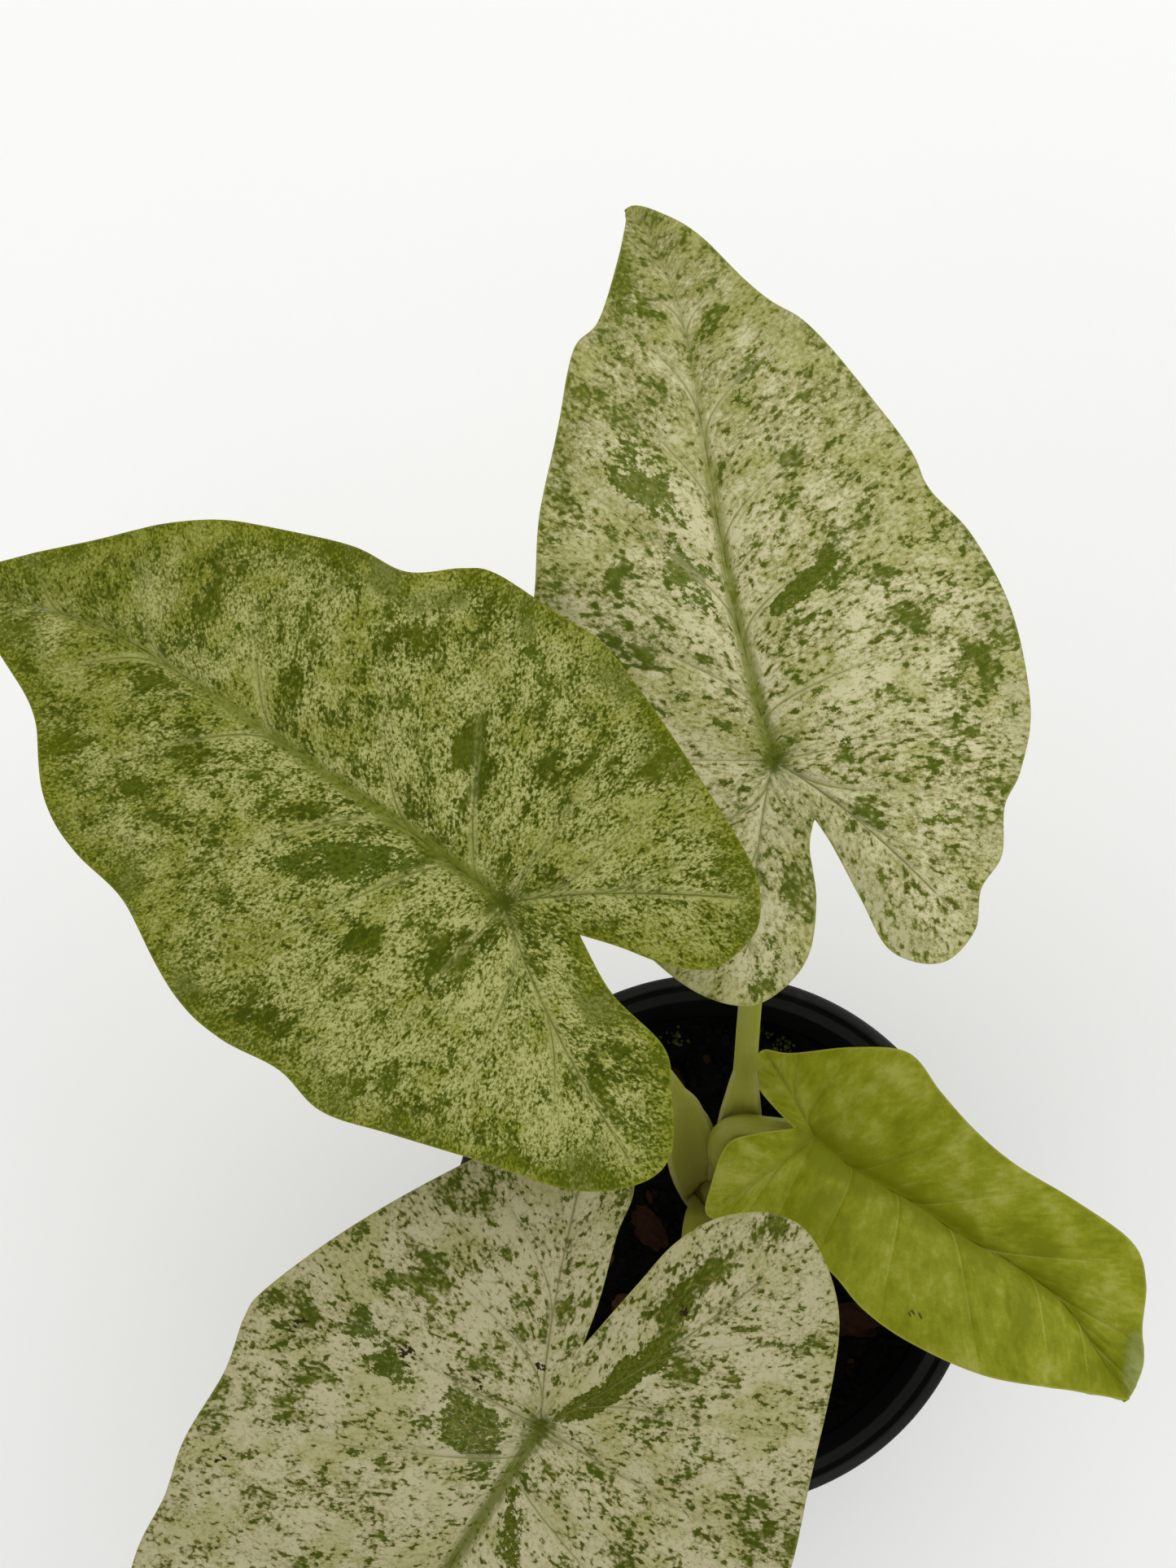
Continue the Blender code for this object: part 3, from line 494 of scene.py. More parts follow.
class PotTones(bpy.types.PropertyGroup):
    __annotations__ = {
        "plastic": colour_property("Plastic", "Dark green-black plastic", (13, 17, 15)),
        "dust": colour_property("Dust", "Dried film of water and dust", (88, 84, 74)),
        "drain_radius": length_property("Drain radius", "Radius of the holes in the floor", 4.0),
        "drains": IntProperty(name="Drains", description="Holes in the floor", default=6, min=1,
                              max=12),
    }


class MixTones(bpy.types.PropertyGroup):
    __annotations__ = {
        "crumb": colour_property("Crumbs", "Dark peat and humus", (9, 8, 6)),
        "bark": colour_property("Bark", "Red-brown chips of bark", (50, 30, 18)),
        "moss": colour_property("Moss", "Green bits between the crumbs", (70, 84, 24)),
        "crumb_size": length_property("Crumb size", "Size of the largest crumbs", 1.6),
        "crumbs": IntProperty(name="Crumbs", description="Loose crumbs on the surface", default=2600,
                              min=100, max=6000),
    }


class StageTones(bpy.types.PropertyGroup):
    __annotations__ = {
        "floor": colour_property("Floor", "Plain pale floor", (250, 250, 249)),
        "glow": number_property("Floor glow", "Light given off by the floor, as by a lit table", 0.08,
                                0.0, 1.0),
        "key": FloatProperty(name="Key light", description="Power of the large soft lamp", default=17.0,
                             unit="POWER"),
        "sky": FloatProperty(name="Sky", description="Strength of the even light all round", default=0.62),
        "lens": FloatProperty(name="Lens", description="Focal length", default=82.0, unit="CAMERA"),
        "distance": length_property("Camera height", "Height of the camera above the table", 825.8),
    }


class PlantSettings(bpy.types.PropertyGroup):
    __annotations__ = {
        "upper": PointerProperty(type=UpperTones, name="Upper blade"),
        "left": PointerProperty(type=LeftTones, name="Left blade"),
        "lower": PointerProperty(type=LowerTones, name="Lower blade"),
        "young": PointerProperty(type=YoungTones, name="Young blade"),
        "stems": PointerProperty(type=StemTones, name="Stems"),
        "pot": PointerProperty(type=PotTones, name="Pot"),
        "mix": PointerProperty(type=MixTones, name="Potting mix"),
        "stage": PointerProperty(type=StageTones, name="Stage"),
    }


# Shader arithmetic

class Wire:
    """A shader socket that takes part in sums; each operator adds its Math node."""

    def __init__(self, shade, socket):
        self.shade = shade
        self.socket = socket

    def sum(self, operation, first, second):
        return self.shade.wire("ShaderNodeMath", {"operation": operation}, {0: first, 1: second})

    def __add__(self, other):
        return self.sum("ADD", self, other)

    def __radd__(self, other):
        return self.sum("ADD", other, self)

    def __sub__(self, other):
        return self.sum("SUBTRACT", self, other)

    def __rsub__(self, other):
        return self.sum("SUBTRACT", other, self)

    def __mul__(self, other):
        return self.sum("MULTIPLY", self, other)

    def __rmul__(self, other):
        return self.sum("MULTIPLY", other, self)


class Shade:
    """A material under construction."""

    def __init__(self, name):
        self.material = bpy.data.materials.new(name)
        self.material.use_nodes = True
        self.tree = self.material.node_tree
        self.tree.nodes.clear()

    def node(self, kind, settings, sockets):
        """Adds a node: its settings first, then the values or links of its sockets."""
        made = self.tree.nodes.new(kind)
        for key, value in settings.items():
            if key == "stops":
                self.set_stops(made.color_ramp, value)
            else:
                setattr(made, key, value)
        for key, value in sockets.items():
            socket = made.inputs[key]
            if isinstance(value, Wire):
                self.tree.links.new(value.socket, socket)
            elif socket.type == "RGBA":
                socket.default_value = (*value, 1.0)
            else:
                socket.default_value = value
        return made

    @staticmethod
    def set_stops(ramp, stops):
        for index, (place, colour) in enumerate(stops):
            stop = ramp.elements[index] if index < 2 else ramp.elements.new(place)
            stop.position = place
            stop.color = (*colour, 1.0)

    def wire(self, kind, settings, sockets, output=0):
        return Wire(self, self.node(kind, settings, sockets).outputs[output])

    def place(self):
        """Object coordinates in mm."""
        return self.stretch(self.wire("ShaderNodeTexCoord", {}, {}, "Object"), (1 / MM, 1 / MM, 1 / MM))

    def attribute(self, name):
        return self.wire("ShaderNodeAttribute", {"attribute_name": name}, {}, "Vector")

    def number(self, name):
        return self.wire("ShaderNodeAttribute", {"attribute_name": name}, {}, "Fac")

    def parts(self, vector):
        made = self.node("ShaderNodeSeparateXYZ", {}, {0: vector})
        return [Wire(self, socket) for socket in made.outputs]

    def stretch(self, vector, scale):
        return self.wire("ShaderNodeVectorMath", {"operation": "MULTIPLY"}, {0: vector, 1: scale})

    def shift(self, vector, offset):
        return self.wire("ShaderNodeVectorMath", {"operation": "ADD"}, {0: vector, 1: offset})

    def noise(self, vector, scale, detail, roughness, distortion=0.0):
        return self.wire("ShaderNodeTexNoise", {}, {
            "Vector": vector, "Scale": scale, "Detail": detail, "Roughness": roughness,
            "Distortion": distortion})

    def field(self, vector, scale, detail, roughness):
        """Noise about zero with a spread of about one."""
        return (self.noise(vector, scale, detail, roughness) - 0.5) * FIELD_SPREAD

    def drawn_field(self, vector, run, length, scale, detail, roughness):
        """The same, drawn out along the direction run: the mean of three samples one length apart."""
        step = self.stretch(run, (length, length, length))
        back = self.stretch(run, (-length, -length, -length))
        total = self.field(vector, scale, detail, roughness)
        for offset in (step, back):
            total = total + self.field(self.shift(vector, offset), scale, detail, roughness)
        return total * DRAWN_SHARE

    def ramp(self, value, stops):
        """Colour along straight blends between stops given as (value, colour), values from -3 to 3."""
        span = 2 * RAMP_REACH
        scaled = [((place + RAMP_REACH) / span, colour) for place, colour in stops]
        return self.wire("ShaderNodeValToRGB", {"stops": scaled}, {0: value * (1 / span) + 0.5})

    def cells(self, vector, scale):
        return self.wire("ShaderNodeTexVoronoi", {}, {"Vector": vector, "Scale": scale}, "Distance")

    def rise(self, value, low, high):
        """0 below low, 1 above high and smooth between; low may be the larger one."""
        return self.wire("ShaderNodeMapRange", {"interpolation_type": "SMOOTHSTEP"}, {
            "Value": value, "From Min": low, "From Max": high, "To Min": 0.0, "To Max": 1.0})

    def mix(self, first, second, factor):
        return self.wire("ShaderNodeMix", {"data_type": "RGBA"}, {0: factor, 6: first, 7: second}, 2)

    def tinted(self, colour, factor):
        """The colour with its brightness multiplied by a number that varies."""
        grey = self.wire("ShaderNodeCombineXYZ", {}, {0: factor, 1: factor, 2: factor})
        return self.wire("ShaderNodeMix", {"data_type": "RGBA", "blend_type": "MULTIPLY"},
                         {0: 1.0, 6: colour, 7: grey}, 2)

    def bump(self, height, distance, strength):
        return self.wire("ShaderNodeBump", {}, {"Height": height, "Distance": distance, "Strength": strength})

    def finish(self, colour, roughness, normal, **fixed):
        """Puts the Principled shader last; fixed values are set on its own sockets."""
        sockets = {"Base Color": colour, "Roughness": roughness, "Normal": normal}
        sockets.update({key.replace("_", " "): value for key, value in fixed.items()})
        shader = self.wire("ShaderNodeBsdfPrincipled", {}, sockets)
        self.node("ShaderNodeOutputMaterial", {}, {"Surface": shader})
        return self.material


# Curves, grids and meshes

def smooth_line(points, samples=SPAN_SAMPLES):
    """Catmull-Rom line through all the points: a cubic in each span, its slope half the chord of the
    two neighbours."""
    p = np.array(points, dtype=float)
    p = np.vstack((2 * p[0] - p[1], p, 2 * p[-1] - p[-2]))
    t = np.linspace(0.0, 1.0, samples, endpoint=False)[:, None]
    spans = []
    for a, b, c, d in zip(p[:-3], p[1:-2], p[2:-1], p[3:]):
        square = (2 * a - 5 * b + 4 * c - d) * t**2
        cube = (3 * b - a - 3 * c + d) * t**3
        spans.append(0.5 * (2 * b + (c - a) * t + square + cube))
    return np.vstack(spans + [p[-2:-1]])


def reached(line):
    """Share of the line's length that lies before each of its points."""
    steps = np.linalg.norm(np.diff(line, axis=0), axis=1)
    return np.concatenate(([0.0], np.cumsum(steps))) / steps.sum()


def along(line, fractions):
    """Points at the given fractions of a line's length."""
    share = reached(line)
    return np.column_stack([np.interp(fractions, share, line[:, k]) for k in range(line.shape[1])])


def nearest_share(line, point):
    """Fraction of the line's length at the point of it that is nearest."""
    fine = along(line, np.linspace(0.0, 1.0, 2001))
    return np.argmin(np.linalg.norm(fine - np.array(point, dtype=float), axis=1)) / 2000.0


def distance_to_line(points, line):
    """Distance from each point to the nearest of the line's straight pieces."""
    best = np.full(len(points), np.inf)
    for a, b in zip(line[:-1], line[1:]):
        piece = b - a
        t = np.clip((points - a) @ piece / max(piece @ piece, 1e-9), 0.0, 1.0)
        best = np.minimum(best, np.linalg.norm(points - a - t[:, None] * piece, axis=1))
    return best


def grid_faces(rows, columns, wrap=False, start=0):
    """Quads of a grid whose points are numbered row by row; wrap joins the last column to the first."""
    r = np.arange(rows - 1)[:, None]
    c = np.arange(columns if wrap else columns - 1)[None, :]
    n = (c + 1) % columns
    quads = np.stack((r * columns + c, r * columns + n, (r + 1) * columns + n, (r + 1) * columns + c), -1)
    return quads.reshape(-1, 4) + start


def value_noise(x, y, seed):
    """Smooth noise from -1 to 1: random heights at whole numbers, blended by a cubic step between them."""
    n = NOISE_CELLS
    table = np.random.default_rng(seed).uniform(-1.0, 1.0, (n, n))
    xi, yi = np.floor(x).astype(int), np.floor(y).astype(int)
    fx, fy = x - xi, y - yi
    fx, fy = fx * fx * (3 - 2 * fx), fy * fy * (3 - 2 * fy)
    low = table[xi % n, yi % n] * (1 - fx) + table[(xi + 1) % n, yi % n] * fx
    high = table[xi % n, (yi + 1) % n] * (1 - fx) + table[(xi + 1) % n, (yi + 1) % n] * fx
    return low * (1 - fy) + high * fy


def unit(vectors):
    """The vectors at length one."""
    return vectors / np.maximum(np.linalg.norm(vectors, axis=-1, keepdims=True), 1e-6)


def dip(gap, depth, width):
    """Depth of a soft groove: depth * exp(-(gap / width)^2)."""
    return depth * np.exp(-(gap / width) ** 2)


def make_mesh(name, points, faces, point_data=(), corner_data=(), weld=True):
    """Mesh from points in mm and an array of faces, or a list of such arrays; doubled corners of poles
    and seams are merged.

    point_data and corner_data hold (attribute name, array) pairs: a number or three numbers for each
    point, or three numbers for each corner of each face, taken from the face's own points.
    """
    groups = faces if isinstance(faces, list) else [faces]
    mesh = bpy.data.meshes.new(name)
    mesh.from_pydata((points * MM).tolist(), [], [face for group in groups for face in group.tolist()])
    for label, values in point_data:
        kind = "FLOAT" if values.ndim == 1 else "FLOAT_VECTOR"
        field = "value" if values.ndim == 1 else "vector"
        layer = mesh.attributes.new(label, kind, "POINT")
        layer.data.foreach_set(field, values.astype(np.float32).ravel())
    for label, values in corner_data:
        layer = mesh.attributes.new(label, "FLOAT_VECTOR", "CORNER")
        layer.data.foreach_set("vector", values[faces].astype(np.float32).ravel())
    if weld:
        shape = bmesh.new()
        shape.from_mesh(mesh)
        bmesh.ops.remove_doubles(shape, verts=shape.verts, dist=WELD)
        shape.to_mesh(mesh)
        shape.free()
    mesh.shade_smooth()
    return mesh


def signed_volume(mesh):
    """Volume of a closed mesh, negative if its faces point inwards."""
    mesh.calc_loop_triangles()
    corners = np.empty(len(mesh.loop_triangles) * 3, dtype=np.int32)
    mesh.loop_triangles.foreach_get("vertices", corners)
    points = np.empty(len(mesh.vertices) * 3)
    mesh.vertices.foreach_get("co", points)
    a, b, c = points.reshape(-1, 3)[corners.reshape(-1, 3)].transpose(1, 0, 2)
    return float(np.einsum("ij,ij->", a, np.cross(b, c))) / 6.0


def face_outwards(mesh):
    """Turns the faces of a closed mesh outwards; a mesh that holds no volume is an error."""
    volume = signed_volume(mesh)
    if volume == 0.0:
        raise RuntimeError(f"{mesh.name} encloses nothing")
    if volume < 0.0:
        mesh.flip_normals()


def add_piece(name, mesh, material, slot, *nodes):
    """Object for a closed mesh, faces outwards, on the body; it stands for the named nodes."""
    face_outwards(mesh)
    obj = bpy.data.objects.new(name, mesh)
    bpy.context.scene.collection.objects.link(obj)
    mesh.materials.append(material)
    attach(obj, BODY)
    if nodes:
        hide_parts(*nodes)
    return obj


def applied(obj):
    """Replaces the object's mesh by what its modifiers make of it."""
    depsgraph = bpy.context.evaluated_depsgraph_get()
    mesh = bpy.data.meshes.new_from_object(obj.evaluated_get(depsgraph), depsgraph=depsgraph)
    obj.modifiers.clear()
    obj.data = mesh
    return mesh


# Blades

def blade_matrix(blade):
    """Place and turn of the blade in mm; a positive pitch lowers the tip."""
    heading = Matrix.Rotation(math.radians(blade.yaw), 4, "Z")
    pitch = Matrix.Rotation(math.radians(blade.pitch), 4, "Y")
    return np.array(Matrix.Translation(Vector(blade.junction)) @ heading @ pitch)


def blade_height(blade, flat):
    """Height of the upper face: a V fold rounded at the bottom, less a camber across the blade and an
    arch along it, both squares of the distance."""
    x, y = flat[..., 0], flat[..., 1]
    midrib = smooth_line(blade.midrib)
    across = y - np.interp(x, midrib[:, 0], midrib[:, 1])
    tip_arch = blade.droop * (x / blade.length) ** 2
    arch = np.where(x > 0, tip_arch, blade.lobe_droop * (x / blade.lobe_length) ** 2)
    fold = blade.fold * (np.sqrt(across**2 + ROUNDING**2) - ROUNDING)
    camber = blade.camber * (across / blade.half_width) ** 2
    return fold - camber - arch


def vein_rows(blade, side, outer_margin):
    """Spine station and margin share of every row.

    Station 0 is the tip, 1 the junction and 2 the end of the lobe's vein. The rows between two veins
    lie on a smooth line through (station, share) of the veins, so each vein falls on a row.
    """
    midrib = smooth_line(blade.midrib)
    share = reached(midrib)
    start = [max(0.0, x - VEIN_LEAD * blade.vein_foot) for x, _ in side.veins]
    foot = [1.0 - np.interp(x, midrib[:, 0], share) for x in start]
    foot += [station for station, _ in side.lobe_veins]
    aims = [aim for _, aim in side.veins + side.lobe_veins]
    knots = [(0.0, 0.0)] + list(zip(foot, [nearest_share(outer_margin, aim) for aim in aims]))
    knots.append((2.0, 1.0))
    rows = smooth_line(knots, ROWS_PER_VEIN)
    junction_row = ROWS_PER_VEIN * len(side.veins)
    stations = np.maximum.accumulate(np.clip(rows[:, 0], 0.0, 2.0))
    stations[: junction_row + 1] = np.minimum(stations[: junction_row + 1], 1.0)
    stations[junction_row] = 1.0
    stations[junction_row:] = np.maximum(stations[junction_row:], 1.0)
    return stations, np.maximum.accumulate(np.clip(rows[:, 1], 0.0, 1.0)), junction_row


def spine_line(blade, side_end, stations):
    """The midrib from the tip to the junction, then a parabola that bends out into the lobe."""
    midrib = smooth_line(blade.midrib[::-1])
    end = LOBE_VEIN_REACH * np.array(side_end, dtype=float)
    bend = end * LOBE_VEIN_BEND
    t = np.clip(stations - 1.0, 0.0, 1.0)[:, None]
    lobe_vein = 2 * t * (1 - t) * bend + t**2 * end
    on_midrib = along(midrib, np.clip(stations, 0.0, 1.0))
    return np.where(stations[:, None] <= 1.0, on_midrib, lobe_vein)


def across_columns(count):
    """Positions from spine to margin, closer together at both ends."""
    k = np.linspace(0.0, 1.0, count)
    return 0.45 * k + 0.55 * (0.5 - 0.5 * np.cos(np.pi * k))


def gap_to_rows(points, spacing, offset):
    """Distance of each grid point to the nearest of the rows that lie offset + k * spacing down the grid,
    measured square to that row."""
    gap = np.full(points.shape[:2], FAR)
    index = np.arange(len(points))
    direction = unit(np.gradient(points, axis=1))
    for row in np.arange(offset, len(points), spacing):
        near = np.abs(index - row) <= spacing
        away = points[near] - points[row]
        cross = away[..., 0] * direction[row, :, 1] - away[..., 1] * direction[row, :, 0]
        gap[near] = np.minimum(gap[near], np.abs(cross))
    return gap


def half_blade(blade, side):
    """The outer patch (spine to margin) and the inner patch of the lobe, as dictionaries of grids.

    Each row of the outer patch is a cubic curve that leaves the spine along it, away from the junction,
    and then runs straight to the margin.
    """
    whole = smooth_line((blade.midrib[-1],) + side.outer + side.inner + (blade.sinus,))
    lobe_end = SPAN_SAMPLES * len(side.outer)
    outer_margin, inner_margin = whole[: lobe_end + 1], whole[lobe_end:][::-1]
    stations, shares, junction_row = vein_rows(blade, side, outer_margin)
    spine = spine_line(blade, side.outer[-1], stations)
    margin = along(outer_margin, shares)
    v = across_columns(OUTER_COLUMNS)[None, :, None]

    chord = margin - spine
    span = np.linalg.norm(chord, axis=1)[:, None]
    outwards = unit(np.gradient(spine, axis=0) * np.where(stations < 1.0, -1.0, 1.0)[:, None])
    ease = np.clip(np.abs(stations - 1.0) / FOOT_EASE, 0.0, 1.0)[:, None]
    first = spine + np.minimum(blade.vein_foot, FOOT_SHARE * span) * ease * outwards + ROW_LEAD * chord
    second = spine + ROW_PULL * chord
    flat = (spine[:, None] * (1 - v) ** 3 + 3 * first[:, None] * v * (1 - v) ** 2
            + 3 * second[:, None] * v**2 * (1 - v) + margin[:, None] * v**3)
    middle = flat[:, OUTER_COLUMNS // 2]
    down = np.concatenate(([0.0], np.cumsum(np.linalg.norm(np.diff(middle, axis=0), axis=1))))
    ones = np.ones((1, OUTER_COLUMNS))
    veins = len(side.veins) + len(side.lobe_veins) + 1
    between = np.sin(np.pi * (np.linspace(0.0, veins, len(stations))[:, None] * ones % 1.0))
    marked = gap_to_rows(flat[: -ROWS_PER_VEIN // 2], ROWS_PER_VEIN, ROWS_PER_VEIN)
    beyond = np.full((len(flat) - len(marked), OUTER_COLUMNS), FAR)
    outer = dict(
        flat=flat, along=span * v[..., 0], down=down[:, None] * ones,
        vein_gap=np.vstack((marked, beyond)),
        fine_gap=gap_to_rows(flat, ROWS_PER_VEIN, ROWS_PER_VEIN // 2),
        across=v[..., 0] * np.ones((len(stations), 1)), share=shares[:, None] * ones,
        puff=between * np.sin(np.pi * v[..., 0]) ** PUFF_SHAPE,
        station=stations[:, None] * ones)

    w = across_columns(INNER_COLUMNS)[None, :, None]
    lower, lobe_spine = stations[junction_row:], spine[junction_row:]
    rim = along(inner_margin, (lower - 1.0) ** LOBE_SPREAD)
    inner_flat = lobe_spine[:, None] * (1 - w) + rim[:, None] * w
    width = np.linalg.norm(rim - lobe_spine, axis=1)[:, None]
    ones = np.ones((1, INNER_COLUMNS))
    column = np.ones((len(lower), 1))
    inner = dict(
        flat=inner_flat, along=-width * w[..., 0], down=down[junction_row:, None] * ones,
        vein_gap=np.full(inner_flat.shape[:2], FAR),
        fine_gap=gap_to_rows(inner_flat, ROWS_PER_VEIN // 2, ROWS_PER_VEIN // 2),
        across=w[..., 0] * column, share=column * ones,
        puff=INNER_PUFF * np.sin(np.pi * w[..., 0]) * column, station=lower[:, None] * ones)
    return outer, inner, spine, np.vstack((outer_margin, inner_margin[::-1]))


def patch_strength(blade, kind, flat):
    """Sum of soft ellipses: each falls off as exp(-0.8 * distance^4) in its own turned and scaled frame."""
    total = np.zeros(len(flat))
    for patch in (Patch(*values) for values in blade.patches.get(kind, ())):
        away = flat - (patch.x, patch.y)
        c, s = math.cos(math.radians(patch.angle)), math.sin(math.radians(patch.angle))
        a = (away[:, 0] * c + away[:, 1] * s) / (patch.length / 2)
        b = (away[:, 1] * c - away[:, 0] * s) / (patch.width / 2)
        total += patch.strength * np.exp(-((a * a + b * b) ** 2) * PATCH_FALL)
    return total


def blade_sheet(blade):
    """The upper face of a blade: quads, and at each point what its relief and the materials read."""
    grids = []
    for side, sign in ((blade.right, 1.0), (blade.left, -1.0)):
        outer, inner, spine, margin = half_blade(blade, side)
        lobe_vein = spine[spine[:, 0] <= 0.0][:: ROWS_PER_VEIN // 4]
        for grid, flip in ((outer, sign > 0), (inner, sign < 0)):
            shape = grid["flat"].shape[:2]
            flat = grid["flat"].reshape(-1, 2)
            grid["lobe_gap"] = distance_to_line(flat, lobe_vein).reshape(shape)
            grid["edge_gap"] = distance_to_line(flat, margin[::4]).reshape(shape)
            grid["seed"] = np.full(shape, blade.seed * (1.0 + 0.5 * sign))
            grid["run"] = unit(np.gradient(grid["flat"], axis=1))
            grids.append((grid, flip))
    faces, start = [], 0
    for grid, flip in grids:
        rows, columns = grid["flat"].shape[:2]
        quads = grid_faces(rows, columns, start=start)
        faces.append(quads[:, ::-1] if flip else quads)
        start += rows * columns
    joined = {key: np.concatenate([grid[key].reshape(-1, *grid[key].shape[2:]) for grid, _ in grids])
              for key in grids[0][0]}
    return joined, np.vstack(faces)


def blade_relief(blade, data):
    """Height over the plain form: fields puffed up between the veins, sunken veins and midrib, a waved
    margin and slow uneven swells."""
    x, y = data["flat"].T
    rib, across = data["rib_gap"], data["across"]
    vein = np.minimum(data["vein_gap"], data["lobe_gap"])
    puff = blade.puff * data["puff"] * (1.0 - dip(rib, 1.0, RIB_CLEAR))
    sunk = dip(vein, *VEIN_DIP) * (1 - across) ** 0.5
    sunk += dip(data["fine_gap"], *FINE_DIP) * np.sin(np.pi * across)
    wave = blade.wave * across**3 * np.sin(2 * np.pi * blade.waves * data["share"])
    wave *= np.clip((1.0 - data["share"]) / WAVE_END, 0.0, 1.0)
    height, length, clear = SWELL_LONG
    swell = height * value_noise(x / length + blade.seed, y / length, 3) * np.clip(rib / clear, 0, 1)
    height, length, clear = SWELL_SHORT
    swell += height * value_noise(x / length, y / length + blade.seed, 5) * np.clip(rib / clear, 0, 1)
    channel = dip(rib, blade.channel, CHANNEL_WIDTH)
    return (puff + swell) * np.interp(x, *LOBE_CALM) - sunk - channel + wave


def blade_thickness(data):
    """Depth below the upper face: the lamina, thinner at its edge, with a keel and raised veins."""
    into = np.clip(data["edge_gap"] / EDGE_TAPER, 0.0, 1.0)
    edge = EDGE_THICKNESS + (BLADE_THICKNESS - EDGE_THICKNESS) * into
    keel_here = np.interp(data["station"], (0.0, 1.0, 2.0), (0.0, KEEL_DEPTH - BLADE_THICKNESS, 0.0))
    spine_gap = np.where(data["station"] > 1.0, data["lobe_gap"], data["rib_gap"])
    raised = dip(data["vein_gap"], VEIN_DEPTH - BLADE_THICKNESS, VEIN_WIDTH) * (1 - data["across"])
    return edge + dip(spine_gap, keel_here, KEEL_WIDTH) + raised


def make_blade(key, upper, under):
    """Builds a blade as one closed body: the upper sheet, thickened downwards by its own depths."""
    blade = BLADES[key]
    data, faces = blade_sheet(blade)
    flat = data["flat"]
    data["rib_gap"] = distance_to_line(flat, smooth_line(blade.midrib)[::4])
    height = blade_height(blade, flat) + blade_relief(blade, data)
    turn = blade_matrix(blade)
    points = np.column_stack((flat, height)) @ turn[:3, :3].T + turn[:3, 3]
    run = np.column_stack((data["run"], np.zeros(len(flat)))) @ turn[:3, :3].T

    taper = np.interp(flat[:, 0], (-2.0, 0.0, 0.5 * blade.length, blade.length), RIB_TAPER)
    vein = np.minimum(data["vein_gap"], data["lobe_gap"])
    patches = {kind: patch_strength(blade, kind, flat) for kind in ("green", "pale", "grey", "scar", "solid")}
    lines = np.column_stack((data["rib_gap"] / taper, vein, data["edge_gap"]))
    marks = np.column_stack((patches["green"] - patches["pale"], patches["grey"], patches["scar"]))
    reach = np.column_stack((np.linalg.norm(flat, axis=1), data["across"], data["fine_gap"]))
    flow = np.column_stack((data["along"], data["down"], data["seed"]))
    mesh = make_mesh(blade.piece, points, faces, corner_data=[("flow", flow), ("run", run)],
                     point_data=[("lines", lines), ("marks", marks), ("reach", reach),
                                 ("solid", patches["solid"]), ("depth", blade_thickness(data))])
    obj = bpy.data.objects.new(blade.piece, mesh)
    bpy.context.scene.collection.objects.link(obj)
    depths = np.empty(len(mesh.vertices), dtype=np.float32)
    mesh.attributes["depth"].data.foreach_get("value", depths)
    group = obj.vertex_groups.new(name="depth_of_blade")
    for index, weight in enumerate((depths / KEEL_DEPTH).clip(0, 1).tolist()):
        group.add([index], weight, "REPLACE")
    for surface in (upper, under):
        mesh.materials.append(surface)
    thicken = obj.modifiers.new("thickness", "SOLIDIFY")
    thicken.thickness = KEEL_DEPTH * MM
    thicken.offset = -1.0
    thicken.vertex_group = group.name
    thicken.material_offset = 1
    thicken.material_offset_rim = 0
    mesh = applied(obj)
    face_outwards(mesh)
    obj.vertex_groups.clear()
    mesh.set_sharp_from_angle(angle=math.radians(BLADE_CREASE))
    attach(obj, BODY)
    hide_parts(blade.node)
    return obj


def leaf_microrelief(shade, flow, vein, fine, strength):
    """Fine cells of the skin, the net of small veins and a crease at each vein."""
    skin = shade.cells(shade.stretch(flow, (3.0, 3.0, 1.0)), 1.0)
    net = shade.noise(shade.stretch(flow, (0.5, 1.1, 1.0)), 1.0, 3.0, 0.6)
    crease = shade.rise(vein, 0.6, 0.0) * 0.7 + shade.rise(fine, 0.3, 0.0) * 0.3
    return shade.bump(skin * 0.25 + net - crease, 0.00022, strength)


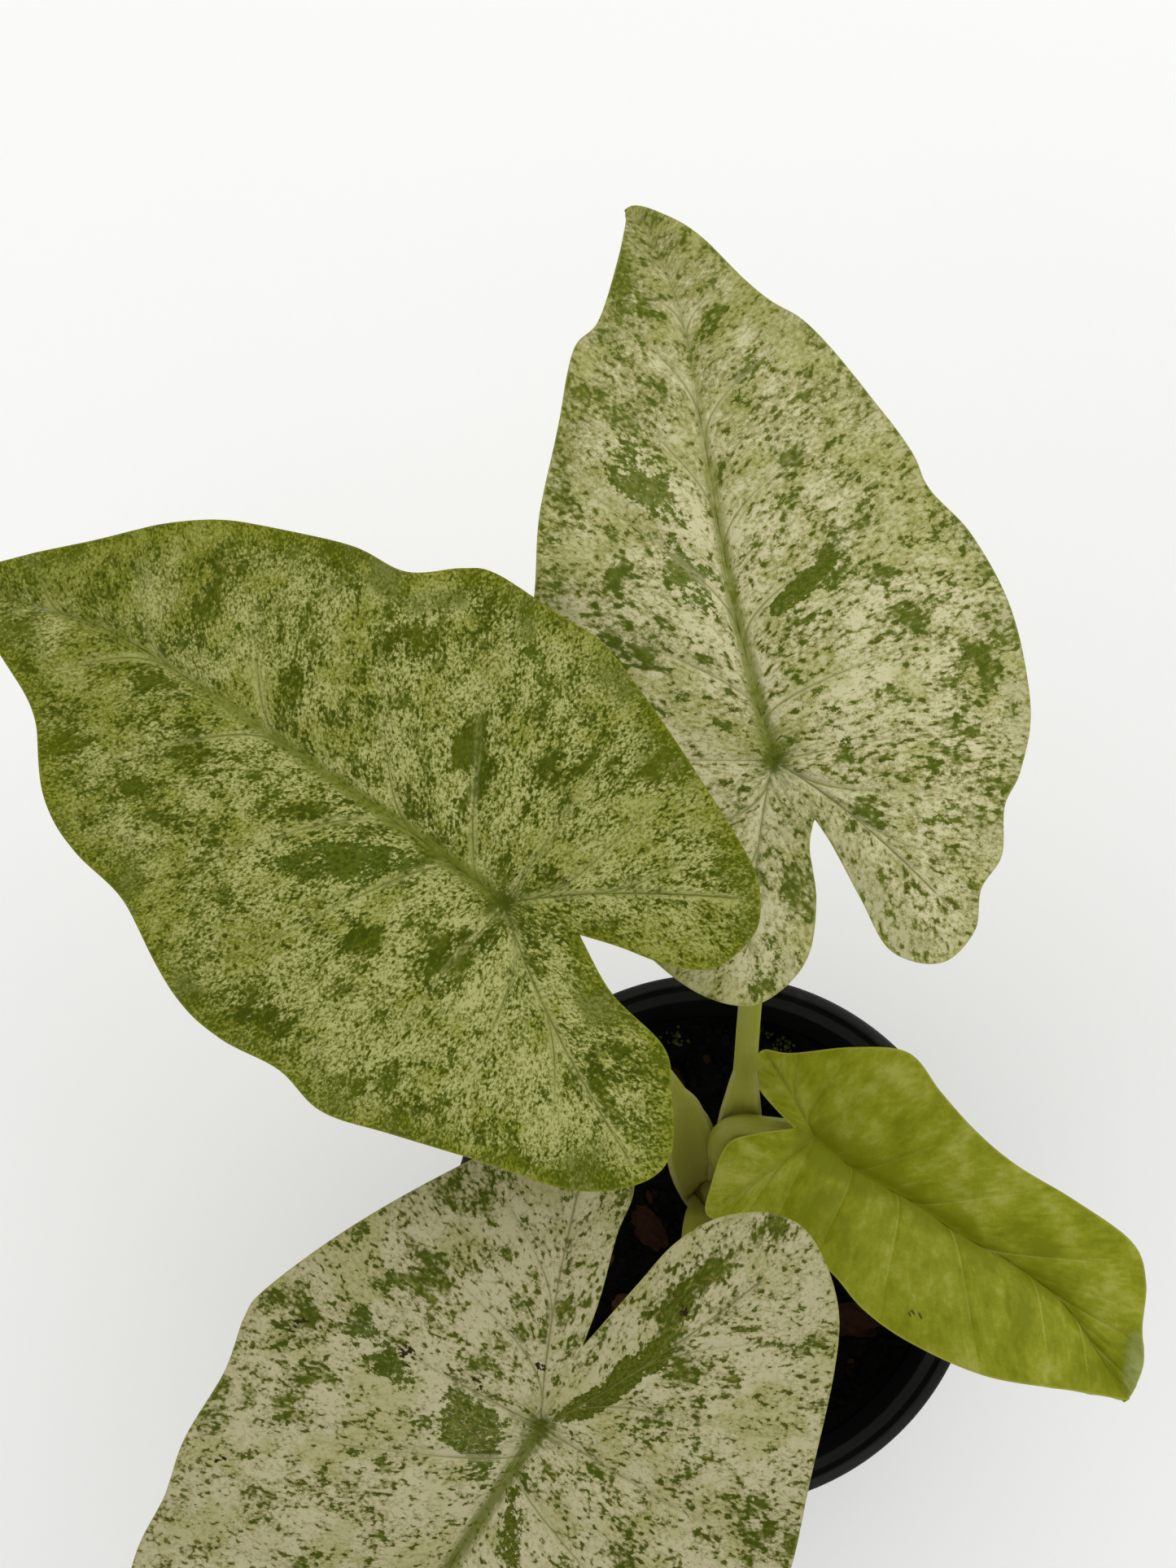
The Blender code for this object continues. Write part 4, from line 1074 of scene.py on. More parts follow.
def mottled_leaf(name, tones, seed, under=False):
    """Ground of cream and olive grains, ragged green flecks and blotches drawn out along the veins, flat
    grey-green patches with cream islands, ribbons of plain green, a greener margin, and veins as bundles
    of fine fibres that spread from the junction. Toward the tip the ground is darker and calmer. The
    underside is hazier and paler."""
    shade = Shade(name)
    flow = shade.attribute("flow")
    run = shade.attribute("run")
    rib, vein, edge = shade.parts(shade.attribute("lines"))
    density, grey, scar = shade.parts(shade.attribute("marks"))
    reach, across, fine = shade.parts(shade.attribute("reach"))
    place = shade.shift(shade.place(), (seed, 2.3 * seed, 5.1 * seed))
    far = shade.shift(place, (71.0, 13.0, 37.0))

    small = tones.fineness
    dust = shade.field(place, 2.7 * small, 2.0, 0.6)
    grain = shade.drawn_field(place, run, 0.22 / small, 1.3 * small, 3.0, 0.66)
    fleck = shade.drawn_field(far, run, 0.36 / small, 0.85 * small, 2.0, 0.5)
    clump = shade.drawn_field(shade.shift(far, (9.0, 41.0, 5.0)), run, 0.8, 0.36, 3.0, 0.6) * tones.patchiness
    blotch = shade.drawn_field(place, run, 1.4, 0.15, 5.0, 0.6) * tones.patchiness
    region = shade.field(far, 0.07, 3.0, 0.55)
    cloud = shade.field(place, 0.1, 3.0, 0.55)
    fibre = (shade.noise(shade.stretch(flow, (0.07, 1.6, 1.0)), 1.0, 3.0, 0.6) - 0.5) * 14.0
    _, down, side = shade.parts(flow)
    rib_grid = shade.wire("ShaderNodeCombineXYZ", {}, {0: rib * 3.2, 1: down * 0.05, 2: side})
    rib_fibre = (shade.noise(rib_grid, 1.0, 3.0, 0.6) - 0.5) * 14.0

    near_vein = shade.rise(vein, 1.3, 0.3) * shade.rise(across, 1.0, 0.6)
    outward = (shade.rise(edge, 8.0, 0.0) + shade.rise(edge, 1.8, 0.2)) * (0.2 + tones.edging * 0.5)
    bias = density * 6.0 + tones.coverage + outward + region * 0.45 - near_vein * 0.7

    outer = shade.rise(reach, 30.0, 105.0)
    calm = 1.0 - outer * 0.3
    ground = ((grain * 0.62 + dust * 0.38) * tones.grit - fleck * 0.3 - clump * 0.35) * calm - blotch * 0.3
    ground = ground - cloud * 0.2 - bias * 0.22 + tones.paleness - outer * tones.fading
    colour = shade.ramp(ground, ((-1.7, tones.olive), (0.0, tones.haze), (1.8, tones.cream)))
    colour = shade.mix(colour, tones.glow, shade.rise(cloud * 0.8 - region * 0.6 + outer, 0.1, 1.8) * 0.35)
    tone = shade.ramp(fleck * 0.35 + dust * 0.4 - grain * 0.5 + cloud * 0.4 + bias * 0.3,
                      ((-1.5, tones.olive), (-0.1, tones.green), (1.5, tones.dark)))

    soft = shade.rise(blotch * 0.6 + clump * 0.5 - grain * 0.3 - dust * 0.15 + bias, 0.4, 2.0)
    colour = shade.mix(colour, tone, soft * 0.6 * calm)
    specks = shade.rise(fleck * 0.8 + clump * 0.35 + blotch * 0.2 - grain * 0.2 - dust * 0.15 + bias * 0.5,
                        0.8, 1.9)
    colour = shade.mix(colour, tone, specks * 0.97 * calm)
    hearts = shade.rise(blotch * 0.55 + clump * 0.45 + fleck * 0.25 - grain * 0.2 - dust * 0.15 + bias,
                        1.4, 2.3)
    colour = shade.mix(colour, tone, hearts * 0.95)

    ragged = blotch * 0.25 + clump * 0.25 + fleck * 0.15 - grain * 0.15 - dust * 0.1
    island = shade.rise(grey * 1.9 + ragged * 1.5, 0.75, 1.35)
    holes = shade.rise(fleck * 0.6 + grain * 0.6 + dust * 0.3, 1.1, 2.0)
    flat_green = shade.ramp(fleck * 0.5 - grain * 0.5 - dust * 0.3 + cloud * 0.4,
                            ((-2.2, tones.olive), (-0.3, tones.grey), (2.2, tones.dark)))
    colour = shade.mix(colour, flat_green, island * (1.0 - holes * 0.6) * 0.98)
    ribbon = shade.rise(shade.number("solid") * 2.4 + ragged, 0.9, 1.4)
    openings = shade.rise(blotch * 0.6 + clump * 0.6, 1.5, 2.0)
    solid_green = shade.mix(tones.dark, tones.green, shade.rise(grain + dust, -1.5, 1.5))
    colour = shade.mix(colour, solid_green, ribbon * (1.0 - openings * 0.85))

    margin = shade.rise(edge + cloud * 1.8 + fleck * 0.5 + dust * 0.4, 6.5, 0.5) * tones.edging
    margin_green = shade.mix(tones.green, tones.glow, shade.rise(grain + cloud, -1.2, 1.2))
    colour = shade.mix(colour, margin_green, margin)

    plain = (1.0 - specks * 0.6) * (1.0 - ribbon * 0.97)
    pale_seam = shade.rise(vein + fibre * 0.12, 1.2, 0.2) * shade.rise(across, 0.9, 0.1) * plain
    colour = shade.mix(colour, tones.cream, pale_seam * 0.5)
    cord = shade.rise(vein + fibre * 0.07, 0.45, 0.05) * shade.rise(across + region * 0.15, 0.85, 0.1) * plain
    cord_colour = shade.mix(tones.haze, tones.rib, shade.rise(fibre, -1.2, 1.0))
    colour = shade.mix(colour, cord_colour, cord * 0.6)
    core = shade.rise(vein + fibre * 0.03, 0.17, 0.03) * shade.rise(across, 0.8, 0.2)
    colour = shade.mix(colour, tones.olive, core * 0.7)
    hair = shade.rise(fine, 0.2, 0.04) * shade.rise(fleck, -0.2, 1.2)
    colour = shade.mix(colour, tone, hair * 0.25)

    rib_colour = shade.ramp(rib_fibre * 0.35 + fleck * 0.15 - rib * 0.5 - reach * 0.012 + 0.9,
                            ((-1.8, tones.haze), (0.2, tones.rib), (2.6, tones.dark)))
    band = shade.rise(rib + rib_fibre * 0.12 + fleck * 0.12, 1.6, 0.4)
    colour = shade.mix(colour, rib_colour, band * (0.4 + shade.rise(reach, 95.0, 35.0) * 0.45))
    rays = shade.rise(reach + fibre + fleck, 6.0, 0.5)
    colour = shade.mix(colour, tones.green, rays * 0.6)
    heart = shade.rise(reach + fibre * 0.3 + fleck * 0.4, 3.6, 0.4)
    colour = shade.mix(colour, tones.dark, heart * 0.8)

    burnt = shade.rise(scar * 2.2 + fleck * 0.45 + clump * 0.3 - grain * 0.6, 0.9, 1.7)
    burnt = burnt * shade.rise(scar, 0.1, 0.3)
    pricks = shade.rise(grain * 0.6 + fleck * 0.4 + dust * 0.4, 2.3, 2.6)
    colour = shade.mix(colour, display(42, 34, 16), burnt + pricks * 0.7)
    colour = shade.mix(colour, tones.glow, shade.rise(edge, 0.5, 0.1) * 0.4)

    if under:
        pale = tuple(0.5 * a + 0.5 * b for a, b in zip(tones.cream, tones.haze))
        colour = shade.mix(colour, pale, 0.45)
    roughness = 0.56 + grain * 0.02 + (0.08 if under else 0.0)
    normal = leaf_microrelief(shade, flow, vein, fine, 0.5 if under else 0.35)
    return shade.finish(colour, roughness, normal, Specular_IOR_Level=0.06)


def young_leaf(name, tones, under=False):
    """Lime ground with soft clouds, thin pale veins with a faint painted shadow, a darker valley along the
    midrib, a painted blue-white sheen and small dark marks where the table of patches puts them."""
    shade = Shade(name)
    flow = shade.attribute("flow")
    run = shade.attribute("run")
    rib, vein, edge = shade.parts(shade.attribute("lines"))
    density, painted_sheen_patch, scar = shade.parts(shade.attribute("marks"))
    reach, across, fine = shade.parts(shade.attribute("reach"))
    place = shade.place()
    cloud = shade.field(place, 0.075, 3.0, 0.55)
    puddle = shade.drawn_field(place, run, 1.0, 0.26, 4.0, 0.62)
    grain = shade.drawn_field(place, run, 0.4, 1.0, 3.0, 0.6)
    dust = shade.field(place, 2.4, 2.0, 0.6)

    ground = cloud * 0.32 + puddle * 0.4 + grain * 0.22 + dust * 0.1 - density * 2.2
    colour = shade.ramp(ground, ((-1.6, tones.deep), (0.2, tones.lime), (1.9, tones.pale)))
    valley = shade.rise(rib + puddle * 0.3 + reach * 0.045, 5.4, 1.6)
    colour = shade.mix(colour, tones.valley, valley * 0.85)
    thread = shade.rise(vein, 0.24, 0.06) * shade.rise(across, 1.0, 0.5)
    thread = thread * (shade.rise(puddle, -1.5, 1.5) + 0.6)
    colour = shade.mix(colour, tones.vein, thread * (shade.rise(reach, 4.0, 26.0) * 0.26 + 0.08))
    shadow = shade.rise(vein, 1.3, 0.2) * shade.rise(across, 0.8, 0.1)
    colour = shade.mix(colour, tones.deep, shadow * 0.2)
    hair = shade.rise(fine, 0.24, 0.05) * shade.rise(grain + cloud, 0.0, 1.5)
    colour = shade.mix(colour, tones.pale, hair * 0.2)
    # Painted sheen: a blue-white reflection painted where the grey patches of the table lie
    sheen = shade.rise(painted_sheen_patch + grain * 0.05 + puddle * 0.05, 0.15, 1.2)
    colour = shade.mix(colour, tones.sheen, sheen * 0.5)
    burnt = shade.rise(scar + grain * 0.04, 0.35, 0.65)
    colour = shade.mix(colour, display(62, 64, 12), burnt * 0.85)
    colour = shade.mix(colour, tones.pale, shade.rise(edge, 0.5, 0.12) * 0.5)
    if under:
        colour = shade.mix(colour, tones.pale, 0.35)
    roughness = 0.5 + puddle * 0.015 + (0.1 if under else 0.0)
    normal = leaf_microrelief(shade, flow, vein, fine, 0.3)
    return shade.finish(colour, roughness, normal, Specular_IOR_Level=0.14)


# Stems

def stalk_section(radius, sheath, sides):
    """Closed outline of a stalk: a circle that opens into a curled sheath as its half width grows.

    The first half of the points runs along the back from edge to edge, the second returns along the
    channel. The wall of the sheath falls off as a power of the distance from its middle.
    """
    half = sides // 2
    s = np.linspace(-1.0, 1.0, half + 1)
    angle = np.pi * (1.5 + 0.5 * s)
    half_circle = np.column_stack((np.cos(angle), np.sin(angle)))
    circle = np.vstack((half_circle, half_circle[-2:0:-1] * (1, -1)))
    weight = min(1.0, sheath / radius)
    curl = s * max(sheath, radius) / SHEATH_CURL
    line = SHEATH_CURL * np.column_stack((np.sin(curl), 1 - np.cos(curl)))
    normal = np.column_stack((-np.sin(curl), np.cos(curl)))
    wall = (SHEATH_WALL / 2 + (radius - SHEATH_WALL) * (1 - np.abs(s)) ** SHEATH_TAPER)[:, None]
    wall *= np.sqrt(np.clip((SHEATH_END - np.abs(s)) / SHEATH_ROUND, 0.0, 1.0))[:, None]
    back = line - normal * wall
    channel = (line + normal * np.minimum(wall, SHEATH_WALL))[-2:0:-1]
    outline = (1 - weight) * radius * circle + weight * np.vstack((back, channel))
    rim = np.concatenate((np.abs(s), np.abs(s)[-2:0:-1])) * weight
    hollow = np.concatenate((np.zeros(half + 1), np.ones(half - 1))) * weight
    return outline, rim, hollow


def make_stalk_grid(stalk):
    """Loft along the stalk's path, ending inside the blade's keel; returns points and shading data."""
    blade = BLADES[stalk.blade]
    normal = blade_matrix(blade)[:3, :3] @ np.array((0.0, 0.0, 1.0))
    top = np.array(blade.junction) - normal * (KEEL_DEPTH + GAP)
    line = smooth_line(stalk.path + (tuple(top),))
    fractions = np.linspace(0.0, 1.0, STALK_RINGS)
    centres = along(line, fractions)
    chords = (along(line, np.minimum(fractions + TANGENT_STEP, 1.0))
              - along(line, np.maximum(fractions - TANGENT_STEP, 0.0)))
    tangents = chords / np.linalg.norm(chords, axis=1)[:, None]
    lean = centres[-1] - centres[0]
    upper_side = np.array((-lean[0], -lean[1], FRONT_RISE * np.linalg.norm(lean)))
    foot, neck = stalk.radii
    radii = np.interp(fractions, (0.0, TOP_FLARE[0], 1.0), (foot, neck, neck * TOP_FLARE[1]))
    knots = smooth_line(stalk.sheath, 12)
    sheaths = np.interp(fractions, knots[:, 0], np.maximum(knots[:, 1], 0.0), right=0.0)
    length = np.linalg.norm(np.diff(line, axis=0), axis=1).sum()
    around = np.linspace(0.0, 2 * math.pi * STALK_AROUND, STALK_SIDES)
    rings, data = [], []
    for centre, tangent, radius, sheath, fraction in zip(centres, tangents, radii, sheaths, fractions):
        front = upper_side - tangent * upper_side.dot(tangent)
        front /= np.linalg.norm(front)
        side = np.cross(front, tangent)
        outline, rim, hollow = stalk_section(radius, sheath, STALK_SIDES)
        rings.append(centre + outline[:, :1] * side + outline[:, 1:] * front)
        data.append(np.column_stack((np.full(STALK_SIDES, fraction * length), around, rim, hollow)))
    slide = ((centres[-1] - rings[-1]) @ normal) / (tangents[-1] @ normal)
    rings[-1] = rings[-1] + slide[:, None] * tangents[-1]
    return np.array(rings + [rings[-1] + normal * TENON]), np.array(data + [data[-1]])


def closed_loft(rings, start):
    """Quads of a tube of rings, with a fan of triangles at each end drawn as quads on a middle point."""
    count, sides = rings.shape[:2]
    faces = grid_faces(count, sides, wrap=True, start=start)
    middles = np.stack((rings[0].mean(0), rings[-1].mean(0)))
    first, last = start + count * sides, start + count * sides + 1
    k = np.arange(sides)
    n = (k + 1) % sides
    low = np.column_stack((np.full(sides, first), start + n, start + k))
    high = np.column_stack((np.full(sides, last), start + (count - 1) * sides + k,
                            start + (count - 1) * sides + n))
    return middles, faces, np.vstack((low, high))


def make_stems(material):
    """Crown and four stalks in one piece; each is a closed loft, rooted in the crown."""
    profile = smooth_line(CROWN_PROFILE, 10)
    angle = np.linspace(0.0, 2 * math.pi, CROWN_SIDES, endpoint=False)
    ridge = sum((depth * np.sin(number * angle + turn) for depth, number, turn in CROWN_RIDGES), 1.0)
    crown = turned_grid(profile, CROWN_SIDES)
    crown[..., :2] = crown[..., :2] * ridge[:, None] + CROWN_CENTRE
    crown_data = np.zeros((len(crown), CROWN_SIDES, 4))
    crown_data[..., 0] = (profile[:, 1] - CROWN_PROFILE[0][1])[:, None]
    crown_data[..., 1] = angle * CROWN_AROUND
    points, quads, triangles, data, start = [], [], [], [], 0
    for number, (rings, values) in enumerate([(crown, crown_data)] + [make_stalk_grid(s) for s in STALKS]):
        middles, faces, fans = closed_loft(rings, start)
        points.append(np.vstack((rings.reshape(-1, 3), middles)))
        values = values.reshape(-1, 4)
        data.append(np.vstack((values, values[:1], values[-1:])))
        data[-1][:, 1] += PART_SHIFT * number
        quads.append(faces)
        triangles.append(fans)
        start += len(points[-1])
    data = np.vstack(data)
    mesh = make_mesh("stems_skin", np.vstack(points), quads + triangles, weld=False,
                     point_data=[("flow", data[:, :3]), ("hollow", data[:, 3])])
    return add_piece("stems_skin", mesh, material, "stems", "stems")


def stem_skin(tones):
    """Satin skin with fine streaks up the stalk, an olive hollow and pale edges of the sheath."""
    shade = Shade("stem_skin")
    flow = shade.attribute("flow")
    rim = shade.parts(flow)[2]
    hollow = shade.number("hollow")
    place = shade.place()
    streaks = shade.noise(shade.stretch(flow, (0.05, 1.6, 0.0)), 1.0, 3.0, 0.6) - 0.5
    blotch = shade.noise(place, 0.16, 3.0, 0.6) - 0.5
    fleck = shade.noise(shade.stretch(flow, (0.4, 1.6, 0.0)), 1.0, 3.0, 0.65) - 0.5
    low = shade.rise(shade.parts(place)[2], 96.0, 74.0)
    colour = shade.mix(tones.skin, tones.edge, shade.rise(blotch + streaks * 0.6, -0.05, 0.25) * 0.5)
    colour = shade.mix(colour, tones.groove, shade.rise(streaks - blotch * 0.3, 0.0, 0.22) * 0.45)
    colour = shade.mix(colour, tones.groove, shade.rise(fleck, 0.12, 0.2) * 0.35)
    colour = shade.mix(colour, tones.groove, hollow * shade.rise(rim, 0.75, 0.05) * 0.8)
    colour = shade.mix(colour, tones.edge, shade.rise(rim, 0.72, 0.98) * 0.8)
    colour = shade.mix(colour, display(120, 100, 48), low * 0.4)
    ridges = shade.noise(shade.stretch(flow, (0.03, 1.1, 0.0)), 1.0, 2.0, 0.5)
    normal = shade.bump(ridges + fleck * 0.25, 0.0005, 0.5)
    return shade.finish(colour, 0.45 + streaks * 0.2, normal, Specular_IOR_Level=0.2)


# Pot

def rounded(corners, radii):
    """Profile whose corners are replaced by circular arcs, each tangent to its two sides."""
    corners = np.array(corners, dtype=float)
    line = [corners[0]]
    for before, here, after, radius in zip(corners[:-2], corners[1:-1], corners[2:], radii):
        a, b = before - here, after - here
        shorter = min(np.linalg.norm(a), np.linalg.norm(b)) * CORNER_SHARE
        a, b = a / np.linalg.norm(a), b / np.linalg.norm(b)
        half = 0.5 * math.acos(float(np.clip(a @ b, -1.0, 1.0)))
        cut = min(radius / math.tan(half), shorter)
        true_radius = cut * math.tan(half)
        centre = here + (a + b) / np.linalg.norm(a + b) * true_radius / math.sin(half)
        start, end = here + a * cut - centre, here + b * cut - centre
        sweep = np.linspace(0.0, 1.0, CORNER_STEPS)
        total = math.pi - 2 * half
        for t in sweep:
            mixed = start * math.sin((1 - t) * total) + end * math.sin(t * total)
            line.append(centre + mixed / math.sin(total))
    line.append(corners[-1])
    return np.array(line)


def wall_radius(height):
    """Outer radius of the tapered wall below the rim band."""
    top = POT_HEIGHT - RIM_BAND_HEIGHT
    return FOOT_RADIUS + (RIM_RADIUS - LIP - RIM_STEP - FOOT_RADIUS) * height / top


def turned_grid(profile, sides):
    """Points of a profile of (radius, height) carried round the pot's axis, row by row up the profile."""
    angle = np.linspace(0.0, 2 * math.pi, sides, endpoint=False)
    return np.stack((profile[:, :1] * np.cos(angle), profile[:, :1] * np.sin(angle),
                     profile[:, 1:] * np.ones(sides)), -1)


def make_pot(tones):
    """Turned wall with a rolled lip, a stepped band and a floor with its drainage holes."""
    band = RIM_RADIUS - LIP + WALL / 2
    ledge = POT_HEIGHT - RIM_BAND_HEIGHT
    corners = FOOT_RING + (
        (FOOT_RADIUS - FOOT_CHAMFER, 0.0), (FOOT_RADIUS, FLOOR),
        (wall_radius(ledge), ledge), (band - DRAFT, ledge + DRAFT), (band, POT_HEIGHT - LIP - DRAFT),
        (RIM_RADIUS, POT_HEIGHT - LIP), (RIM_RADIUS, POT_HEIGHT), (band - WALL, POT_HEIGHT),
        (band - WALL - DRAFT, ledge + WALL + DRAFT), (wall_radius(ledge) - WALL, ledge + DRAFT),
        (wall_radius(SLOPE_FOOT) - WALL, SLOPE_FOOT), (FOOT_RADIUS - WALL - FOOT_CHAMFER, FLOOR),
        (0.0, FLOOR))
    profile = rounded(corners, POT_ROUNDINGS)
    points = turned_grid(profile, POT_SIDES).reshape(-1, 3)
    mesh = make_mesh("pot_shell", points, grid_faces(len(profile), POT_SIDES, wrap=True))
    pot = add_piece("pot_shell", mesh, pot_plastic(tones), "pot", "pot")
    drill = bmesh.new()
    for k in range(tones.drains):
        angle = 2 * math.pi * (k + DRAIN_TURN) / tones.drains
        place = DRAIN_RING_RADIUS * Vector((math.cos(angle), math.sin(angle), 0.0))
        bmesh.ops.create_cone(drill, cap_ends=True, segments=DRAIN_SIDES, radius1=tones.drain_radius,
                              radius2=tones.drain_radius, depth=6 * FLOOR * MM,
                              matrix=Matrix.Translation(place * MM))
    cutter_mesh = bpy.data.meshes.new("drill")
    drill.to_mesh(cutter_mesh)
    drill.free()
    cutter = bpy.data.objects.new("drill", cutter_mesh)
    bpy.context.scene.collection.objects.link(cutter)
    bpy.context.view_layer.update()
    holes = pot.modifiers.new("holes", "BOOLEAN")
    holes.operation = "DIFFERENCE"
    holes.solver = "EXACT"
    holes.object = cutter
    mesh = applied(pot)
    bpy.data.objects.remove(cutter, do_unlink=True)
    face_outwards(mesh)
    mesh.shade_smooth()
    mesh.set_sharp_from_angle(angle=math.radians(POT_CREASE))
    while len(mesh.materials) > 1:
        mesh.materials.pop()
    return pot


def pot_plastic(tones):
    """Moulded satin plastic: faint flow lines round the wall, scuffs, and dust and dried water marks that
    gather low on the inside and at the foot."""
    shade = Shade("pot_plastic")
    place = shade.place()
    height = shade.parts(place)[2]
    stipple = shade.noise(place, 2.2, 3.0, 0.6) - 0.5
    rings = shade.noise(shade.stretch(place, (0.05, 0.05, 1.1)), 1.0, 2.0, 0.5) - 0.5
    marks = shade.noise(shade.stretch(place, (0.12, 0.12, 0.05)), 1.0, 4.0, 0.65) - 0.5
    scuffs = shade.noise(shade.stretch(place, (0.6, 0.6, 2.6)), 1.0, 3.0, 0.6, 0.6) - 0.5
    colour = shade.tinted(tones.plastic, 1.0 + stipple * 0.35 + marks * 0.4)
    film = shade.rise(marks + stipple * 0.3, 0.05, 0.3) * 0.30 + shade.rise(height, 14.0, 0.0) * 0.12
    colour = shade.mix(colour, tones.dust, film * 0.6)
    colour = shade.mix(colour, tones.dust, shade.rise(scuffs, 0.2, 0.26) * 0.16)
    normal = shade.bump(stipple * 0.6 + rings * 0.8, 0.00012, 0.6)
    return shade.finish(colour, 0.46 + marks * 0.25 + film * 0.4, normal, Specular_IOR_Level=0.35)


# Potting mix

def mix_height(x, y):
    """Crumbled surface: a few crossed waves of unlike length."""
    total = sum(np.sin(a * x + b * y + phase) for a, b, phase in MIX_WAVES)
    return MIX_LEVEL + MIX_RELIEF * total / len(MIX_WAVES)


def bed_radius():
    """Radius of the mix at its surface."""
    return wall_radius(MIX_LEVEL) - WALL - GAP


def make_bed(material):
    """The body of the mix: the crossed waves with crumb-sized noise on them, closed below by a plain
    plug that follows the pot's inside."""
    rim = bed_radius()
    radius = rim * np.linspace(1.0, 0.0, BED_RINGS) ** BED_SPACING
    angle = np.linspace(0.0, 2 * math.pi, BED_SIDES, endpoint=False)
    x, y = radius[:, None] * np.cos(angle), radius[:, None] * np.sin(angle)
    rough = sum(height * value_noise(x / width, y / width, seed) for height, width, seed in BED_CRUMBS)
    inward = np.clip((rim - radius[:, None]) / BED_CALM, 0.0, 1.0)
    rough = rough * (BED_CRUMBS_AT_WALL + (1 - BED_CRUMBS_AT_WALL) * inward)
    z = MIX_LEVEL + (mix_height(x, y) - MIX_LEVEL) * inward + rough
    z[0] = MIX_LEVEL
    top = np.stack((x, y, z), -1)
    top[-1] = top[-1].mean(0)
    plug = np.array(((0.0, FLOOR + GAP), (FOOT_RADIUS - WALL - FOOT_CHAMFER - GAP, FLOOR + GAP),
                     (wall_radius(SLOPE_FOOT) - WALL - GAP, SLOPE_FOOT + GAP)))
    grid = np.concatenate((turned_grid(plug, BED_SIDES), top))
    mesh = make_mesh("mix_bed", grid.reshape(-1, 3), grid_faces(len(grid), BED_SIDES, wrap=True))
    return add_piece("mix_bed", mesh, material, "potting_mix", "potting_mix")


def lump_shape(level):
    """Points and triangles of a ball of triangles, 20 faces at level 1, 80 at level 2 and 320 at level 3."""
    ball = bmesh.new()
    bmesh.ops.create_icosphere(ball, subdivisions=level, radius=1.0)
    points = np.array([vert.co[:] for vert in ball.verts])
    faces = np.array([[vert.index for vert in face.verts] for face in ball.faces])
    ball.free()
    return points, faces


def turns(draw, count, tilt):
    """Random rotations: any heading, and a tilt of up to the given angle."""
    a, b = draw.uniform(0, 2 * math.pi, count), draw.uniform(-tilt, tilt, count)
    zero, one = np.zeros(count), np.ones(count)
    heading = np.array([[np.cos(a), -np.sin(a), zero], [np.sin(a), np.cos(a), zero], [zero, zero, one]])
    lean = np.array([[one, zero, zero], [zero, np.cos(b), -np.sin(b)], [zero, np.sin(b), np.cos(b)]])
    return np.einsum("ijn,jkn->nik", heading, lean)


def lumps(kind, centres, sizes, material):
    """Many rough lumps in one piece: one ball of triangles, its points pushed in and out at random,
    stretched, turned and set down at each centre."""
    draw = np.random.default_rng(kind.seed)
    ball, faces = lump_shape(kind.level)
    count = len(centres)
    shape = ball[None] * draw.uniform(1 - kind.jitter, 1 + kind.jitter, (count, len(ball), 1))
    shape = np.einsum("nij,nkj->nki", turns(draw, count, kind.tilt), shape * sizes[:, None, :])
    points = (shape + centres[:, None, :]).reshape(-1, 3)
    step = (np.arange(count) * len(ball))[:, None, None]
    tint = np.repeat(draw.uniform(0.0, 1.0, count), len(ball))
    mesh = make_mesh(kind.piece, points, (faces[None] + step).reshape(-1, 3), [("tint", tint)], weld=False)
    mesh.set_sharp_from_angle(angle=math.radians(LUMP_CREASE))
    return add_piece(kind.piece, mesh, material, "potting_mix")


def set_down(kind, spots, sizes, lift, material):
    """Lumps at the given places, lifted over the surface of the mix."""
    height = mix_height(spots[:, 0], spots[:, 1]) + lift
    return lumps(kind, np.column_stack((spots, height)), sizes, material)


def scattered(draw, count, reach, clear):
    """Random places on the mix within the reach, thinned out where the crown stands."""
    radius = reach * np.sqrt(draw.uniform(0.0, 1.0, count))
    angle = draw.uniform(0.0, 2 * math.pi, count)
    spots = np.column_stack((radius * np.cos(angle), radius * np.sin(angle)))
    return spots[np.linalg.norm(spots - CROWN_CENTRE, axis=1) > clear]


def crumb_material(name, ground, lighter, darker):
    """Dull fibrous surface, each lump a shade of its own."""
    shade = Shade(name)
    place = shade.place()
    tint = shade.number("tint")
    fibre = shade.noise(shade.stretch(place, (1.2, 2.6, 1.8)), 1.0, 4.0, 0.65) - 0.5
    patch = shade.noise(place, 0.25, 3.0, 0.6) - 0.5
    colour = shade.mix(ground, lighter, shade.rise(tint + fibre * 0.8, 0.55, 1.1) * 0.9)
    colour = shade.mix(colour, darker, shade.rise(patch - fibre * 0.5, -0.05, 0.2) * 0.6)
    normal = shade.bump(fibre, 0.0006, 0.8)
    return shade.finish(colour, 0.9 + fibre * 0.15, normal, Specular_IOR_Level=0.12)


def make_crumbs(draw, tones, material):
    """Loose crumbs, many small and few large."""
    spots = scattered(draw, tones.crumbs, bed_radius() - LOOSE_FROM_WALL, CRUMBS_FROM_CROWN)
    share = CRUMB_SMALLEST + (1 - CRUMB_SMALLEST) * draw.uniform(0, 1, len(spots)) ** 3
    size = tones.crumb_size / MM * share
    sizes = size[:, None] * draw.uniform(*CRUMB_STRETCH, (len(spots), 3))
    return set_down(CRUMBS, spots, sizes, size * draw.uniform(*CRUMB_LIFT, len(spots)), material)


